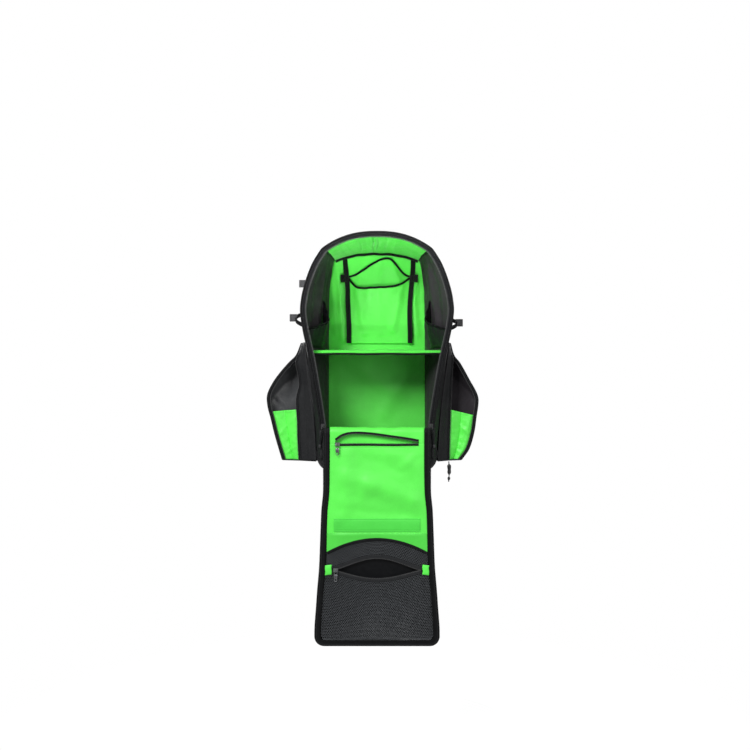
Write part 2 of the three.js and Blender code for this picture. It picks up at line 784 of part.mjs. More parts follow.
// A piece that lies in the front panel, between two drops that may change across it.
function flapSheet(name, material, { halfAt, topAt, endAt, liftAt, thickness, across, along }) {
  const place = (u, v) => {
    const rough = mix(topAt(u), endAt(u), v);
    return { x: (2 * u - 1) * halfAt(rough, v), drop: rough };
  };
  addSheet(name, material, {
    across,
    along,
    point: (u, v) => {
      const { x, drop } = place(u, v);
      return flapPoint(x, drop, liftAt(u, v));
    },
    offset: (u, v) => {
      const { x, drop } = place(u, v);
      return flapPoint(x, drop, liftAt(u, v) + thickness).sub(flapPoint(x, drop, liftAt(u, v)));
    },
  });
}

const netCornerRadius = 13;
function insideEdge(drop) {
  const side = flapHalf(Math.min(drop, flapLength - flapCornerRadius)) - flapEdgeWidth - 3 * gap;
  const sunk = clamp(drop - (flapEnd - netCornerRadius), 0, netCornerRadius);
  return side - 0.7 * (netCornerRadius - Math.sqrt(netCornerRadius ** 2 - sunk ** 2));
}
const flapEnd = flapLength - flapEdgeWidth - gap;
const netTop = (u) => netTopDrop + netTopFall * Math.abs(2 * u - 1) ** 2;
const liningZipEnd = liningZipWidth / 2;
const liningShare = (x) => (x + liningZipEnd) / liningZipWidth;
const gapeAt = (x) =>
  Math.abs(x) > liningZipEnd ? 0 : liningZipGape * lookup(LINING_GAPE, "across", "open", liningShare(x));

function makeFlapEdges() {
  const rear = -(flapShellDepth - gap);
  const thickness = flapEdgeFront - rear;
  for (const side of [-1, 1]) {
    const width = (u, drop) => side * (flapHalf(drop) - flapEdgeWidth * u);
    const last = flapLength - flapCornerRadius - gap;
    const foldShare = 0.24;
    const place = (u, v, lift) => {
      const drop = v < foldShare ? -0.9 * flapFoldRadius * (1 - v / foldShare) : last * ((v - foldShare) / (1 - foldShare)) ** 1.2;
      return flapPoint(width(u, drop), drop, lift);
    };
    addSheet(`flap_edge_${side < 0 ? "left" : "right"}`, blackWebbing, {
      across: 1,
      along: 17,
      point: (u, v) => place(u, v, rear),
      offset: (u, v) => place(u, v, rear + thickness).sub(place(u, v, rear)),
    });
  }
  // The lower edge goes round both corners, which sweep about the corners' centres.
  const half = flapWidth / 2 - flapCornerRadius;
  const inner = flapCornerRadius - flapEdgeWidth;
  const cornerShare = 0.2;
  const lower = (u, v, lift) => {
    const radius = mix(flapCornerRadius, inner, u);
    const side = v < 0.5 ? -1 : 1;
    const angle = clamp(Math.min(v, 1 - v) / cornerShare, 0, 1) * (Math.PI / 2);
    const flat = clamp((v - cornerShare) / (1 - 2 * cornerShare), 0, 1);
    const corner = v > cornerShare && v < 1 - cornerShare ? mix(-half, half, flat) : side * half;
    const x = corner + side * radius * Math.cos(angle);
    return flapPoint(x, flapLength - flapCornerRadius + radius * Math.sin(angle), lift);
  };
  addSheet("flap_edge_lower", blackWebbing, {
    across: 1,
    along: 20,
    point: (u, v) => lower(u, v, rear),
    offset: (u, v) => lower(u, v, rear + thickness).sub(lower(u, v, rear)),
  });
}

function makeFlapPanels() {
  flapSheet("flap_shell", blackCloth, {
    across: 4,
    along: 10,
    halfAt: (drop) => flapHalf(Math.min(drop, flapLength - 0.4)) - 1,
    topAt: () => 1,
    endAt: () => flapLength - 0.5,
    liftAt: () => -(flapShellDepth + flapShellThickness),
    thickness: flapShellThickness,
  });
  // The upper lining comes down inside the lower front, rolls over its edge and ends at the zipped pocket.
  const rollShare = 5 / 7;
  const rolled = (v) => clamp(v / rollShare, 0, 1);
  const flat = (v) => clamp((v - rollShare) / (1 - rollShare), 0, 1);
  const liningColumns = 14;
  const liningX = (u) => {
    const column = Math.round(u * liningColumns);
    const side = column < liningColumns / 2 ? -1 : 1;
    if (column === 0 || column === liningColumns) return side * insideEdge(liningZipDrop);
    if (column === 1 || column === liningColumns - 1) return side * (liningZipEnd + 0.6);
    return mix(-liningZipEnd, liningZipEnd, (column - 2) / (liningColumns - 4));
  };
  const upperAt = (u, v, lift) => {
    const end = liningZipDrop - gap - gapeAt(liningX(u));
    return flapPoint(liningX(u), -Math.PI * flapFoldRadius * (1 - rolled(v)) + end * flat(v), lift);
  };
  addSheet("flap_lining_upper", greenLining, {
    across: liningColumns,
    along: 7,
    point: (u, v) => upperAt(u, v, -liningThickness),
    offset: (u, v) => upperAt(u, v, 0).sub(upperAt(u, v, -liningThickness)),
  });
  flapSheet("flap_lining_lower", greenLining, {
    across: 10,
    along: 5,
    halfAt: insideEdge,
    topAt: () => liningZipDrop,
    endAt: (u) => netTop(u) - gap,
    liftAt: () => -liningThickness,
    thickness: liningThickness,
  });
  flapSheet("lining_band", greenLining, {
    across: 4,
    along: 1,
    halfAt: () => liningBandWidth / 2,
    topAt: () => liningBandDrop,
    endAt: () => liningBandDrop + liningBandHeight,
    liftAt: () => gap,
    thickness: 1,
  });
}

// Two zip tapes, each a strip that runs across the front panel at a drop given by a function.
function zipTape(name, width, halfWidth, shift, dropAt, lift) {
  const place = (u, v, up) => {
    const x = shift + mix(-halfWidth, halfWidth, v);
    return flapPoint(x, dropAt(v) + width * (u - 0.5), up);
  };
  addSheet(name, blackWebbing, {
    across: 1,
    along: 14,
    point: (u, v) => place(u, v, lift(v)),
    offset: (u, v) => place(u, v, lift(v) + zipTapeThickness).sub(place(u, v, lift(v))),
  });
}

const netMouthUpper = (v) => netMouthDrop - netMouthRise * Math.sin(Math.PI * v) ** 1.3;
const netMouthLower = (v) => netMouthDrop + netMouthSag * Math.sin(Math.PI * v) ** 1.2;
const netMouthLift = (v) => netBulge * 0.75 * Math.sin(Math.PI * clamp(v, 0, 1));

function makeLiningZip() {
  const above = (v) => liningZipDrop - gapeAt(mix(-liningZipEnd, liningZipEnd, v) * 0.999);
  const lift = () => gap;
  const upperLine = (v) => above(v) - zipTapeWidth / 2;
  zipTape("lining_zip_upper", zipTapeWidth, liningZipEnd, 0, upperLine, lift);
  zipTape("lining_zip_lower", zipTapeWidth, liningZipEnd, 0, () => liningZipDrop + zipTapeWidth / 2, lift);
}

// The net swells in front of the shell, most in the middle and not at its sewn edges.
function makeNetPocket() {
  const half = netMouthWidth / 2;
  const edge = insideEdge;
  const share = (u) => clamp(((2 * u - 1) * edge(netMouthDrop) + half) / netMouthWidth, 0, 1);
  flapSheet("net_upper", blackNet, {
    across: 12,
    along: 3,
    halfAt: edge,
    topAt: (u) => netTop(u),
    endAt: (u) => netMouthUpper(share(u)) - netTapeWidth - 1.2,
    liftAt: () => -netThickness,
    thickness: netThickness,
  });
  flapSheet("net_pocket", blackNet, {
    across: 12,
    along: 7,
    halfAt: edge,
    topAt: (u) => netMouthLower(share(u)) + netTapeWidth + 2,
    endAt: () => flapEnd,
    liftAt: (u, v) => {
      const top = netMouthLift(share(u));
      const belly = netBulge * Math.sin(Math.PI * clamp(v, 0, 1)) ** 0.7 * Math.sin(Math.PI * clamp(u, 0, 1)) ** 0.6;
      return mix(top, 0, clamp(v, 0, 1)) + belly * 0.7 - netThickness;
    },
    thickness: netThickness,
  });
  const upper = (v) => netMouthUpper(v) - netTapeWidth / 2;
  const lower = (v) => netMouthLower(v) + netTapeWidth / 2 + 0.8;
  zipTape("net_zip_upper", netTapeWidth, half, 0, upper, () => gap);
  zipTape("net_zip_lower", netTapeWidth, half, 0, lower, (v) => netMouthLift(v) + gap);
  for (const side of [-1, 1]) {
    const middle = side * (half + pullTabWidth / 2 + 2.4);
    const place = (u, v, lift) =>
      flapPoint(middle + (u - 0.5) * pullTabWidth, netMouthDrop + (v - 0.5) * pullTabHeight, lift);
    addSheet(`net_zip_tab_${side < 0 ? "left" : "right"}`, greenLining, {
      across: 2,
      along: 2,
      point: (u, v) => place(u, v, flapEdgeFront + gap),
      offset: (u, v) => place(u, v, flapEdgeFront + gap + 1.4).sub(place(u, v, flapEdgeFront + gap)),
    });
  }
}

// A slider with a bail that stands across the zip, and the puller that hangs from the bail.
function makeSlider(name, x, drop, lift) {
  const at = flapPoint(x, drop, lift);
  const face = at.y - sliderThickness;
  const legOffset = (bailSpan - bailWire) / 2;
  const legLength = bailReach + 0.2;
  const leg = (sign) =>
    boxGeometry(bailWire, legLength, bailWire, at.x, face - legLength / 2 + 0.2, at.z + sign * legOffset);
  const slider = fused(
    boxGeometry(sliderWidth, sliderThickness, sliderHeight, at.x, at.y - sliderThickness / 2, at.z),
    leg(-1),
    leg(1),
    boxGeometry(bailWire, bailWire, bailSpan, at.x, face - bailReach + bailWire / 2, at.z),
  );
  addMesh(`${name}_slider`, slider, zipMetal);

  const half = pullerWidth / 2;
  const eyeTop = bailWire / 2 + pullerPlay - legOffset;
  const top = eyeTop + pullerRim;
  const ringMiddle = top - pullerLength + pullerRingHole + pullerRim;
  const plate = new THREE.Shape();
  plate.moveTo(-half, top);
  plate.lineTo(-half, ringMiddle);
  plate.absarc(0, ringMiddle, half, Math.PI, 2 * Math.PI, false);
  plate.lineTo(half, top);
  plate.closePath();
  const eyeHalf = pullerEyeWidth / 2;
  const eye = new THREE.Path();
  eye.moveTo(-eyeHalf, eyeTop);
  eye.lineTo(eyeHalf, eyeTop);
  eye.lineTo(eyeHalf, eyeTop - pullerEyeHeight);
  eye.lineTo(-eyeHalf, eyeTop - pullerEyeHeight);
  eye.closePath();
  const ring = new THREE.Path();
  ring.absarc(0, ringMiddle, pullerRingHole * 0.85, 0, 2 * Math.PI, true);
  plate.holes.push(eye, ring);
  const puller = new THREE.ExtrudeGeometry(plate, {
    depth: pullerThickness,
    bevelEnabled: false,
    curveSegments: 6,
  });
  puller.rotateX(Math.PI / 2).translate(at.x, face - pullerStandOff + pullerThickness / 2, at.z);
  addMesh(`${name}_puller`, puller, zipMetal);
}

// Side pocket: edges by height, and the plan of its outer wall.
function pocketShape(side, table) {
  const share = (z) => (z - pocketBase) / (pocketTop - pocketBase);
  const inner = (z) => pocketReach * lookup(table, "height", "inner", share(z));
  const outer = (z) => pocketReach * lookup(table, "height", "outer", share(z));
  const rearY = -bagDepth * pocketRearShare;
  const frontY = -bagDepth * pocketInnerShare;
  const bodyX = (z, depthShare) => bodyHalf(z, depthShare) + gap + 0.4;
  const rear = (z) => vec(bodyX(z, pocketRearShare) + 0.8, rearY, z);
  const front = (z) => vec(bodyX(z, pocketInnerShare) + 0.4, frontY, z);
  // Along the outer wall: the curve leaves the body, swells past the edge and comes forward to it.
  const wallAt = (along, z) => {
    const swell = pocketCorner * clamp((1 - share(z)) * 3, 0, 1);
    const start = rear(z);
    const end = vec(outer(z), -pocketOuterY, z);
    const bend = vec(outer(z) + swell, rearY - 4, z);
    const [a, b, c] = [(1 - along) ** 2, 2 * along * (1 - along), along ** 2];
    const p = start.multiplyScalar(a).addScaledVector(bend, b).addScaledVector(end, c);
    return vec(side * p.x, p.y, z);
  };
  const innerEdge = (z) => vec(side * inner(z), -pocketMouthY, z);
  return { inner, outer, rear, front, wallAt, innerEdge, share };
}

function makeSidePocket(side, table) {
  const word = side < 0 ? "left" : "right";
  const shape = pocketShape(side, table);
  const height = (v) => mix(pocketBase, pocketTop, v);
  const wallPoint = (u, v) => shape.wallAt(u, height(v));
  const outerWall = sheetGeometry({
    across: 7,
    along: 9,
    point: wallPoint,
    offset: alongNormal(wallPoint, side < 0 ? -pocketWall : pocketWall),
  });
  // The floor follows the outer wall, then the mouth's edge, then the facing back to the body.
  const wallShare = 0.62;
  const edgeShare = 0.86;
  const floor = sheetGeometry({
    across: 9,
    along: 2,
    point: (u, v) => {
      const depthShare = mix(pocketRearShare + 0.012, pocketInnerShare - 0.02, u);
      const near = vec(side * (bodyHalf(pocketBase, depthShare) + 2 * gap), -bagDepth * depthShare, 0);
      const far = shape.wallAt(clamp(u / wallShare, 0, 1), pocketBase);
      far.lerp(shape.innerEdge(pocketBase), clamp((u - wallShare) / (edgeShare - wallShare), 0, 1));
      const front = shape.front(pocketBase);
      far.lerp(vec(side * (front.x + 2), front.y + 2.5, 0), clamp((u - edgeShare) / (1 - edgeShare), 0, 1));
      return vec(mix(near.x, far.x, v), mix(near.y, far.y, v), pocketBase + 0.6);
    },
    offset: byVector(0, 0, -pocketWall),
  });
  addMesh(`pocket_wall_${word}`, fused(outerWall, floor), blackCloth);

  // Facing: from the body out to the inner edge of the mouth, with the zip tape along that edge.
  const outward = (z) => {
    const run = shape.innerEdge(z).sub(vec(side * shape.front(z).x, shape.front(z).y, z));
    return { run, normal: vec(run.y, -run.x, 0).multiplyScalar(side).normalize() };
  };
  const facingAt = (share, z) => {
    const { run } = outward(z);
    return shape.innerEdge(z).addScaledVector(run, share - 1);
  };
  const facingFoot = pocketBase + 1.4;
  const facingHeight = (v) => mix(facingFoot, pocketTop, v);
  const facing = sheetGeometry({
    across: 1,
    along: 9,
    point: (u, v) => facingAt(u, facingHeight(v)),
    offset: (u, v) => outward(facingHeight(v)).normal.multiplyScalar(pocketWall),
  });
  const mouthTop = mix(pocketBase, pocketTop, 0.9);
  const tapeHeight = (v) => mix(facingFoot + 0.5, mouthTop, v);
  const tape = sheetGeometry({
    across: 1,
    along: 9,
    point: (u, v) => {
      const { run, normal } = outward(tapeHeight(v));
      const width = Math.min(pocketBindingWidth, 0.8 * run.length());
      const share = mix(1 - width / run.length(), 1 + 0.8 / run.length(), u);
      return facingAt(share, tapeHeight(v)).addScaledVector(normal, pocketWall - 0.3);
    },
    offset: (u, v) => outward(tapeHeight(v)).normal.multiplyScalar(pocketBindingThickness),
  });
  addMesh(`pocket_facing_${word}`, fused(facing, tape), blackCloth);

  addSheet(`pocket_edge_${word}`, blackWebbing, {
    across: 1,
    along: 12,
    point: (u, v) => {
      const z = mix(pocketBase + 1, mouthTop, v);
      const p = shape.wallAt(1, z);
      return vec(p.x - side * pocketBindingWidth * (0.85 - u), p.y - gap, z);
    },
    offset: byVector(0, -pocketBindingThickness, 0),
  });

  // The green gusset bridges the mouth's lower part, with one pleat that folds inward.
  addSheet(`pocket_gusset_${word}`, greenLining, {
    across: 6,
    along: 6,
    point: (u, v) => {
      const z = mix(pocketBase + 1.4, pocketBase + gussetHeight, v);
      const start = shape.innerEdge(z);
      const end = shape.wallAt(1, z);
      const x = mix(Math.abs(start.x) + 0.6, Math.abs(end.x) - pocketWall - 2.6, u);
      const pleat = gussetPleat * Math.max(0, 1 - Math.abs(u - 0.5) / 0.34);
      return vec(side * x, mix(start.y, end.y, u) + 1.6 + pleat, z);
    },
    offset: byVector(0, liningThickness, 0),
  });
}

function makeSleeve(side) {
  const inner = sleeveRadius - sleeveWall;
  const profile = [
    [0, 0],
    [sleeveRadius - 6, 0],
    [sleeveRadius, 6],
    [sleeveRadius, sleeveHeight],
    [inner, sleeveHeight],
    [inner, 8],
    [inner - 4, sleeveWall],
    [0, sleeveWall],
  ].map(([radius, height]) => new THREE.Vector2(radius, height));
  const cup = new THREE.LatheGeometry(profile, 18).rotateX(Math.PI / 2);
  const x = side * (backWidth / 2 + sleeveClearance + sleeveRadius);
  addMesh(`bat_sleeve_${side < 0 ? "left" : "right"}`, cup.translate(x, -sleeveY, sleeveBase), blackCloth);
}

function makeBatStrap({ name, side, rear, tab, front, reach, turned }) {
  const bodyAt = (z, share) =>
    vec(side * (bodyHalf(z, share) + batStrapThickness / 2 + 1.2), -bagDepth * share, z);
  const start = bodyAt(rear, batStrapRearShare);
  const end = bodyAt(front, batStrapFrontShare);
  const tabY = -mix(batStrapRearShare, batStrapFrontShare, 0.5) * bagDepth;
  const strap = strapGeometry({
    places: [
      start,
      vec(side * (Math.abs(start.x) + 0.55 * (reach - Math.abs(start.x))), start.y - 2, mix(rear, tab, 0.3)),
      vec(side * reach, tabY + 12, mix(rear, tab, 0.85)),
      vec(side * reach, tabY - 10, mix(tab, front, 0.3)),
      end,
    ],
    widthAt: () => batStrapWidth,
    thickness: batStrapThickness,
    widthDirection: vec(0, 0, 1),
    steps: 12,
  });
  const out = batTabSize / 2 - 1;
  const plate = turned
    ? boxGeometry(batTabThickness, batTabSize, batTabSize, side * reach, tabY + out, tab)
    : boxGeometry(batTabSize, batTabThickness, batTabSize, side * (reach + out), tabY, tab);
  addMesh(name, fused(strap, plate), blackWebbing);
}

function makeShoulderStrap(side) {
  const rear = gap + backThickness;
  const place = (row) => vec(side * row.x, rear + row.back, row.z);
  const pads = SHOULDER_PATH.filter((row) => row.part === "pad");
  const webs = SHOULDER_PATH.filter((row) => row.part === "web");
  const narrow = 0.72;
  const pad = strapGeometry({
    places: pads.map(place),
    widthAt: (v) => shoulderStrapWidth * mix(1, narrow, clamp(v, 0, 1) ** 2),
    thickness: shoulderStrapThickness,
    widthDirection: vec(1, 0, 0),
    steps: 14,
  });
  const web = strapGeometry({
    places: [place(pads[pads.length - 2]), place(pads[pads.length - 1]), ...webs.map(place)],
    widthAt: () => shoulderWebWidth,
    thickness: shoulderWebThickness,
    widthDirection: vec(1, 0, 0),
    steps: 12,
  });
  addMesh(`shoulder_strap_${side < 0 ? "left" : "right"}`, fused(pad, web), padding);
}

// The haul loop stands out from the back below the arch. A hook bears under its top.
const haulTop = haulLoopFoot + haulLoopRise;
const haulTopY = gap + backThickness + haulLoopStandOff;

function makeBack() {
  const rear = gap + backThickness;
  const radius = 26;
  const half = padWidth / 2;
  const pad = new THREE.Shape();
  pad.moveTo(-half + radius, 0);
  pad.lineTo(half - radius, 0);
  pad.absarc(half - radius, radius, radius, -Math.PI / 2, 0, false);
  pad.absarc(half - radius, padHeight - radius, radius, 0, Math.PI / 2, false);
  pad.absarc(-half + radius, padHeight - radius, radius, Math.PI / 2, Math.PI, false);
  pad.absarc(-half + radius, radius, radius, Math.PI, 1.5 * Math.PI, false);
  const bevel = 3;
  const padSolid = new THREE.ExtrudeGeometry(pad, {
    depth: padThickness - bevel,
    bevelThickness: bevel,
    bevelSize: bevel,
    bevelOffset: -bevel,
    bevelSegments: 1,
    curveSegments: 3,
  });
  padSolid.rotateX(Math.PI / 2).translate(0, rear + gap + padThickness, padBase);
  addMesh("back_pad", padSolid, padding);

  // Each foot lies flat on the back and the loop turns a quarter turn, so that its top lies flat under a hook.
  const foot = rear + haulLoopThickness / 2 + gap;
  const loopHalf = haulLoopSpan / 2;
  const loop = strapGeometry({
    places: [
      vec(-loopHalf, foot, haulLoopFoot - 22),
      vec(-loopHalf, foot, haulLoopFoot),
      vec(-loopHalf + 1, mix(foot, haulTopY, 0.6), mix(haulLoopFoot, haulTop, 0.45)),
      vec(-loopHalf * 0.66, mix(foot, haulTopY, 0.85), mix(haulLoopFoot, haulTop, 0.86)),
      vec(0, haulTopY, haulTop + haulLoopThickness / 2),
      vec(loopHalf * 0.66, mix(foot, haulTopY, 0.85), mix(haulLoopFoot, haulTop, 0.86)),
      vec(loopHalf - 1, mix(foot, haulTopY, 0.6), mix(haulLoopFoot, haulTop, 0.45)),
      vec(loopHalf, foot, haulLoopFoot),
      vec(loopHalf, foot, haulLoopFoot - 22),
    ],
    widthAt: () => haulLoopWidth,
    thickness: haulLoopThickness,
    widthTurning: (v) => {
      const away = Math.abs(2 * clamp(v, 0, 1) - 1);
      const turn = (clamp((1 - away - 0.3) / 0.42, 0, 1) * Math.PI) / 2;
      return vec((v < 0.5 ? 1 : -1) * Math.cos(turn), Math.sin(turn), 0);
    },
    steps: 22,
  });
  addMesh("haul_loop", loop, blackWebbing);
}

// The moulded pull that hangs from the foot of the right side pocket's zip.
function makePocketPull() {
  const shape = pocketShape(1, RIGHT_POCKET);
  const profile = [
    [0, 0],
    [1.4, 0],
    [1.4, -5],
    [4.6, -8],
    [4.2, -26],
    [1.6, -31],
    [1.4, -35],
    [3.2, -38],
    [2.8, -46],
    [0, -48],
  ].map(([radius, height]) => new THREE.Vector2(radius, height));
  const pull = new THREE.LatheGeometry(profile.reverse(), 8).rotateX(Math.PI / 2);
  const foot = shape.innerEdge(pocketBase);
  const y = foot.y - pocketWall - pocketBindingThickness;
  addMesh("pocket_pull_right", pull.translate(foot.x + 1, y, pocketBase - pocketWall - 2 * gap), rubber);
}

makeBody();
makeMouthBand();
makeBackSeam();
makeShelf();
makeOrganiser();
makeWallPocket(-1);
makeWallPocket(1);
makeFlapEdges();
makeFlapPanels();
makeLiningZip();
makeNetPocket();
makeSlider("lining_zip", -liningZipEnd + 5, liningZipDrop + 1, gap + zipTapeThickness + 0.5);
makeSlider("net_zip", -netMouthWidth / 2 + 8, netMouthDrop, flapEdgeFront + zipTapeThickness + 2);
makeSidePocket(-1, LEFT_POCKET);
makeSidePocket(1, RIGHT_POCKET);
makeSleeve(-1);
makeSleeve(1);
makeMouthPull(-1);
makeMouthPull(1);
BAT_STRAPS.forEach(makeBatStrap);
makeShoulderStrap(-1);
makeShoulderStrap(1);
makeBack();
makePocketPull();

bag.position.set(0, -haulTopY, -haulTop);
const part = new THREE.Group();
part.add(bag);

export default part;
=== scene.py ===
import math

import bmesh
import bpy
import numpy as np
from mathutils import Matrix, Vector, noise


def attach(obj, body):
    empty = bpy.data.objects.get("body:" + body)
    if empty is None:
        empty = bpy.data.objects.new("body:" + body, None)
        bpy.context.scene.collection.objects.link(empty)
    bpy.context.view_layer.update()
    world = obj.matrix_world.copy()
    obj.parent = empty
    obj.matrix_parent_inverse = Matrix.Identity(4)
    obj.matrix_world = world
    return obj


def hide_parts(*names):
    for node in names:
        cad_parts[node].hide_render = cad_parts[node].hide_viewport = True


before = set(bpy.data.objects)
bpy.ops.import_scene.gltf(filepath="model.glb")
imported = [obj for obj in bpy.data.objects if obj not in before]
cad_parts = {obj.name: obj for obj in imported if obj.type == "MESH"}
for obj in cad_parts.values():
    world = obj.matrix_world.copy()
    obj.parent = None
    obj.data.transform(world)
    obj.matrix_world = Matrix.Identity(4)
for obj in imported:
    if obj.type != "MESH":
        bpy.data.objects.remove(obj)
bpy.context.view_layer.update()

# Sizes of the frame
GAP = 0.4
WALL = 4.0
BAG_HEIGHT = 556.0
BACK_HEIGHT = 538.0
SHOULDER = 516.0
DEPTH = 200.0
BACK_WIDTH = 250.0
MOUTH_WIDTH = 326.0
BULGE = 16.0
BASE_CORNER = 35.0
BACK_THICKNESS = 6.0
MOUTH_BAND = 14.0
HINGE = 99.0
SHELF_HEIGHT = 288.0
SHELF_THICKNESS = 11.0
SHELF_FALL = 6.0
SHELF_REACH = 0.86
ORGANISER_FOOT = 305.0
ORGANISER_WIDTH = 154.0
ORGANISER_SHIFT = 6.0
FLAP_LENGTH = 488.0
FLAP_WIDTH = 286.0
FLAP_CORNER = 22.0
FLAP_STAND_OFF = 21.0
FLAP_END_STAND_OFF = 15.0
FLAP_FOLD_RADIUS = 12.0
FOLD_START = 94.0
FLAP_EDGE = 14.0
LINING_ZIP_DROP = 25.5
LINING_ZIP_HALF = 95.0
LINING_ZIP_GAPE = 23.0
BAND_DROP = 196.0
BAND_HEIGHT = 30.0
BAND_HALF = 98.0
NET_TOP_DROP = 242.0
NET_TOP_FALL = 32.0
NET_MOUTH_DROP = 313.0
NET_MOUTH_HALF = 102.0
NET_MOUTH_RISE = 27.0
NET_MOUTH_SAG = 17.0
NET_BULGE = 15.0
NET_TAPE = 7.0
POCKET_BASE = 25.0
POCKET_TOP = 300.0
POCKET_REAR = 0.43
POCKET_INNER = 0.86
POCKET_MOUTH_Y = 150.0
POCKET_OUTER_Y = 138.0
POCKET_REACH = 258.0
POCKET_WALL = 2.5
SLEEVE_RADIUS = 37.5
HAUL_TOP = 560.0
HAUL_TOP_Y = 22.4


def table(columns, *rows):
    names = columns.split()
    return {name: np.array([row[i] for row in rows]) for i, name in enumerate(names)}


OUTLINE = table(
    "at mouth bulge back",
    (0.06, 0.7, 0.9, 1.0),
    (0.19, 0.718, 1.0, 1.0),
    (0.29, 0.758, 1.0, 1.0),
    (0.39, 0.81, 1.0, 1.0),
    (0.49, 0.865, 1.0, 1.0),
    (0.545, 0.9, 0.9, 1.0),
    (0.633, 0.962, 0.6, 1.0),
    (0.718, 1.0, 0.25, 1.0),
    (0.766, 0.99, 0.0, 1.0),
    (0.811, 0.964, 0.0, 1.0),
    (0.855, 0.925, 0.0, 0.99),
    (0.9, 0.875, 0.0, 0.97),
    (0.944, 0.812, 0.0, 0.94),
    (1.0, 0.7, 0.0, 0.89),
)
TOP_FOLDS = ((0.22, 0.05, 0.6), (0.44, 0.035, 1.0), (0.53, 0.035, 0.9), (0.74, 0.06, 0.5))
FLAP = table(
    "at width",
    (0.0, 0.853),
    (0.14, 0.853),
    (0.28, 0.862),
    (0.37, 0.892),
    (0.57, 0.908),
    (0.64, 0.92),
    (0.76, 0.962),
    (0.9, 0.995),
    (1.0, 1.0),
)
LINING_GAPE = table(
    "at open",
    (0.0, 0.3),
    (0.08, 0.75),
    (0.2, 1.0),
    (0.4, 0.95),
    (0.65, 0.68),
    (0.9, 0.38),
    (1.0, 0.22),
)
ORGANISER = table(
    "at rise sag",
    (0.0, 0.0, 0.0),
    (0.06, 0.04, 0.5),
    (0.13, 0.14, 0.87),
    (0.21, 0.3, 1.0),
    (0.41, 0.74, 0.96),
    (0.53, 0.93, 0.93),
    (0.62, 1.0, 0.9),
    (0.72, 0.88, 0.82),
    (0.85, 0.34, 0.6),
    (0.94, 0.08, 0.25),
    (1.0, 0.0, 0.0),
)
WALL_POCKET = table(
    "at top bow",
    (0.0, 1.0, 0.05),
    (0.18, 0.72, 0.6),
    (0.4, 0.54, 1.0),
    (0.7, 0.44, 0.85),
    (1.0, 0.36, 0.05),
)
LEFT_POCKET = table(
    "at inner outer",
    (0.0, 0.705, 0.864),
    (0.21, 0.717, 0.93),
    (0.36, 0.72, 0.969),
    (0.46, 0.729, 0.996),
    (0.55, 0.725, 1.0),
    (0.64, 0.7, 0.96),
    (0.73, 0.71, 0.895),
    (0.83, 0.73, 0.803),
    (0.89, 0.715, 0.74),
    (1.0, 0.675, 0.69),
)
RIGHT_POCKET = table(
    "at inner outer",
    (0.0, 0.651, 0.772),
    (0.09, 0.651, 0.838),
    (0.23, 0.655, 0.884),
    (0.36, 0.659, 0.905),
    (0.51, 0.663, 0.924),
    (0.58, 0.667, 0.903),
    (0.68, 0.671, 0.845),
    (0.83, 0.68, 0.756),
    (0.89, 0.68, 0.705),
    (1.0, 0.655, 0.67),
)
BAT_STRAPS = (
    ("bat_strap_left_upper", -1, 462, 447, 436, 172, False),
    ("bat_strap_left_lower", -1, 388, 364, 336, 195, False),
    ("bat_strap_right_upper", 1, 462, 447, 436, 168, True),
    ("bat_strap_right_lower", 1, 374, 352, 330, 192, False),
)


def lookup(rows, column, place):
    """Smooth value of a column at a place in the table's first column."""
    x, y = rows["at"], rows[column]
    last = len(x) - 1
    at = np.clip(np.asarray(place, float), x[0], x[-1])
    i = np.clip(np.searchsorted(x, at, side="left") - 1, 0, last - 1)
    before, after = np.maximum(i - 1, 0), np.minimum(i + 2, last)
    step = x[i + 1] - x[i]
    t = (at - x[i]) / step
    start = (y[i + 1] - y[before]) / (x[i + 1] - x[before]) * step
    end = (y[after] - y[i]) / (x[after] - x[i]) * step
    return (
        (2 * t**3 - 3 * t**2 + 1) * y[i]
        + (t**3 - 2 * t**2 + t) * start
        + (3 * t**2 - 2 * t**3) * y[i + 1]
        + (t**3 - t**2) * end
    )


def mix(a, b, t):
    return a + (b - a) * t


def clamp(value, low=0.0, high=1.0):
    return np.clip(value, low, high)


def vec(x, y, z):
    return np.stack(np.broadcast_arrays(*(np.asarray(c, float) for c in (x, y, z))), -1)


def unit(v):
    return v / np.maximum(np.linalg.norm(v, axis=-1, keepdims=True), 1e-9)


def hump(x, middle, width):
    return np.exp(-(((x - middle) / width) ** 2))


def lumps(p, size, shift=0.0):
    """Smooth noise from -1 to 1 at points in millimetres."""
    flat = np.asarray(p, float).reshape(-1, 3) / size + shift
    values = np.fromiter((noise.noise(Vector(q)) for q in flat), float, len(flat))
    return values.reshape(np.shape(p)[:-1])


def ridges(x, y, rows):
    """Height of soft ridges that follow line segments (x0, y0, x1, y1, width, height)."""
    total = np.zeros(np.shape(x))
    for x0, y0, x1, y1, width, height in rows:
        dx, dy = x1 - x0, y1 - y0
        t = clamp(((x - x0) * dx + (y - y0) * dy) / (dx * dx + dy * dy))
        away = np.hypot(x - x0 - t * dx, y - y0 - t * dy)
        total = total + height * np.exp(-((away / width) ** 2))
    return total


def to_world(points):
    return (np.asarray(points, float) + np.array((0.0, -HAUL_TOP_Y, -HAUL_TOP))) / 1000.0


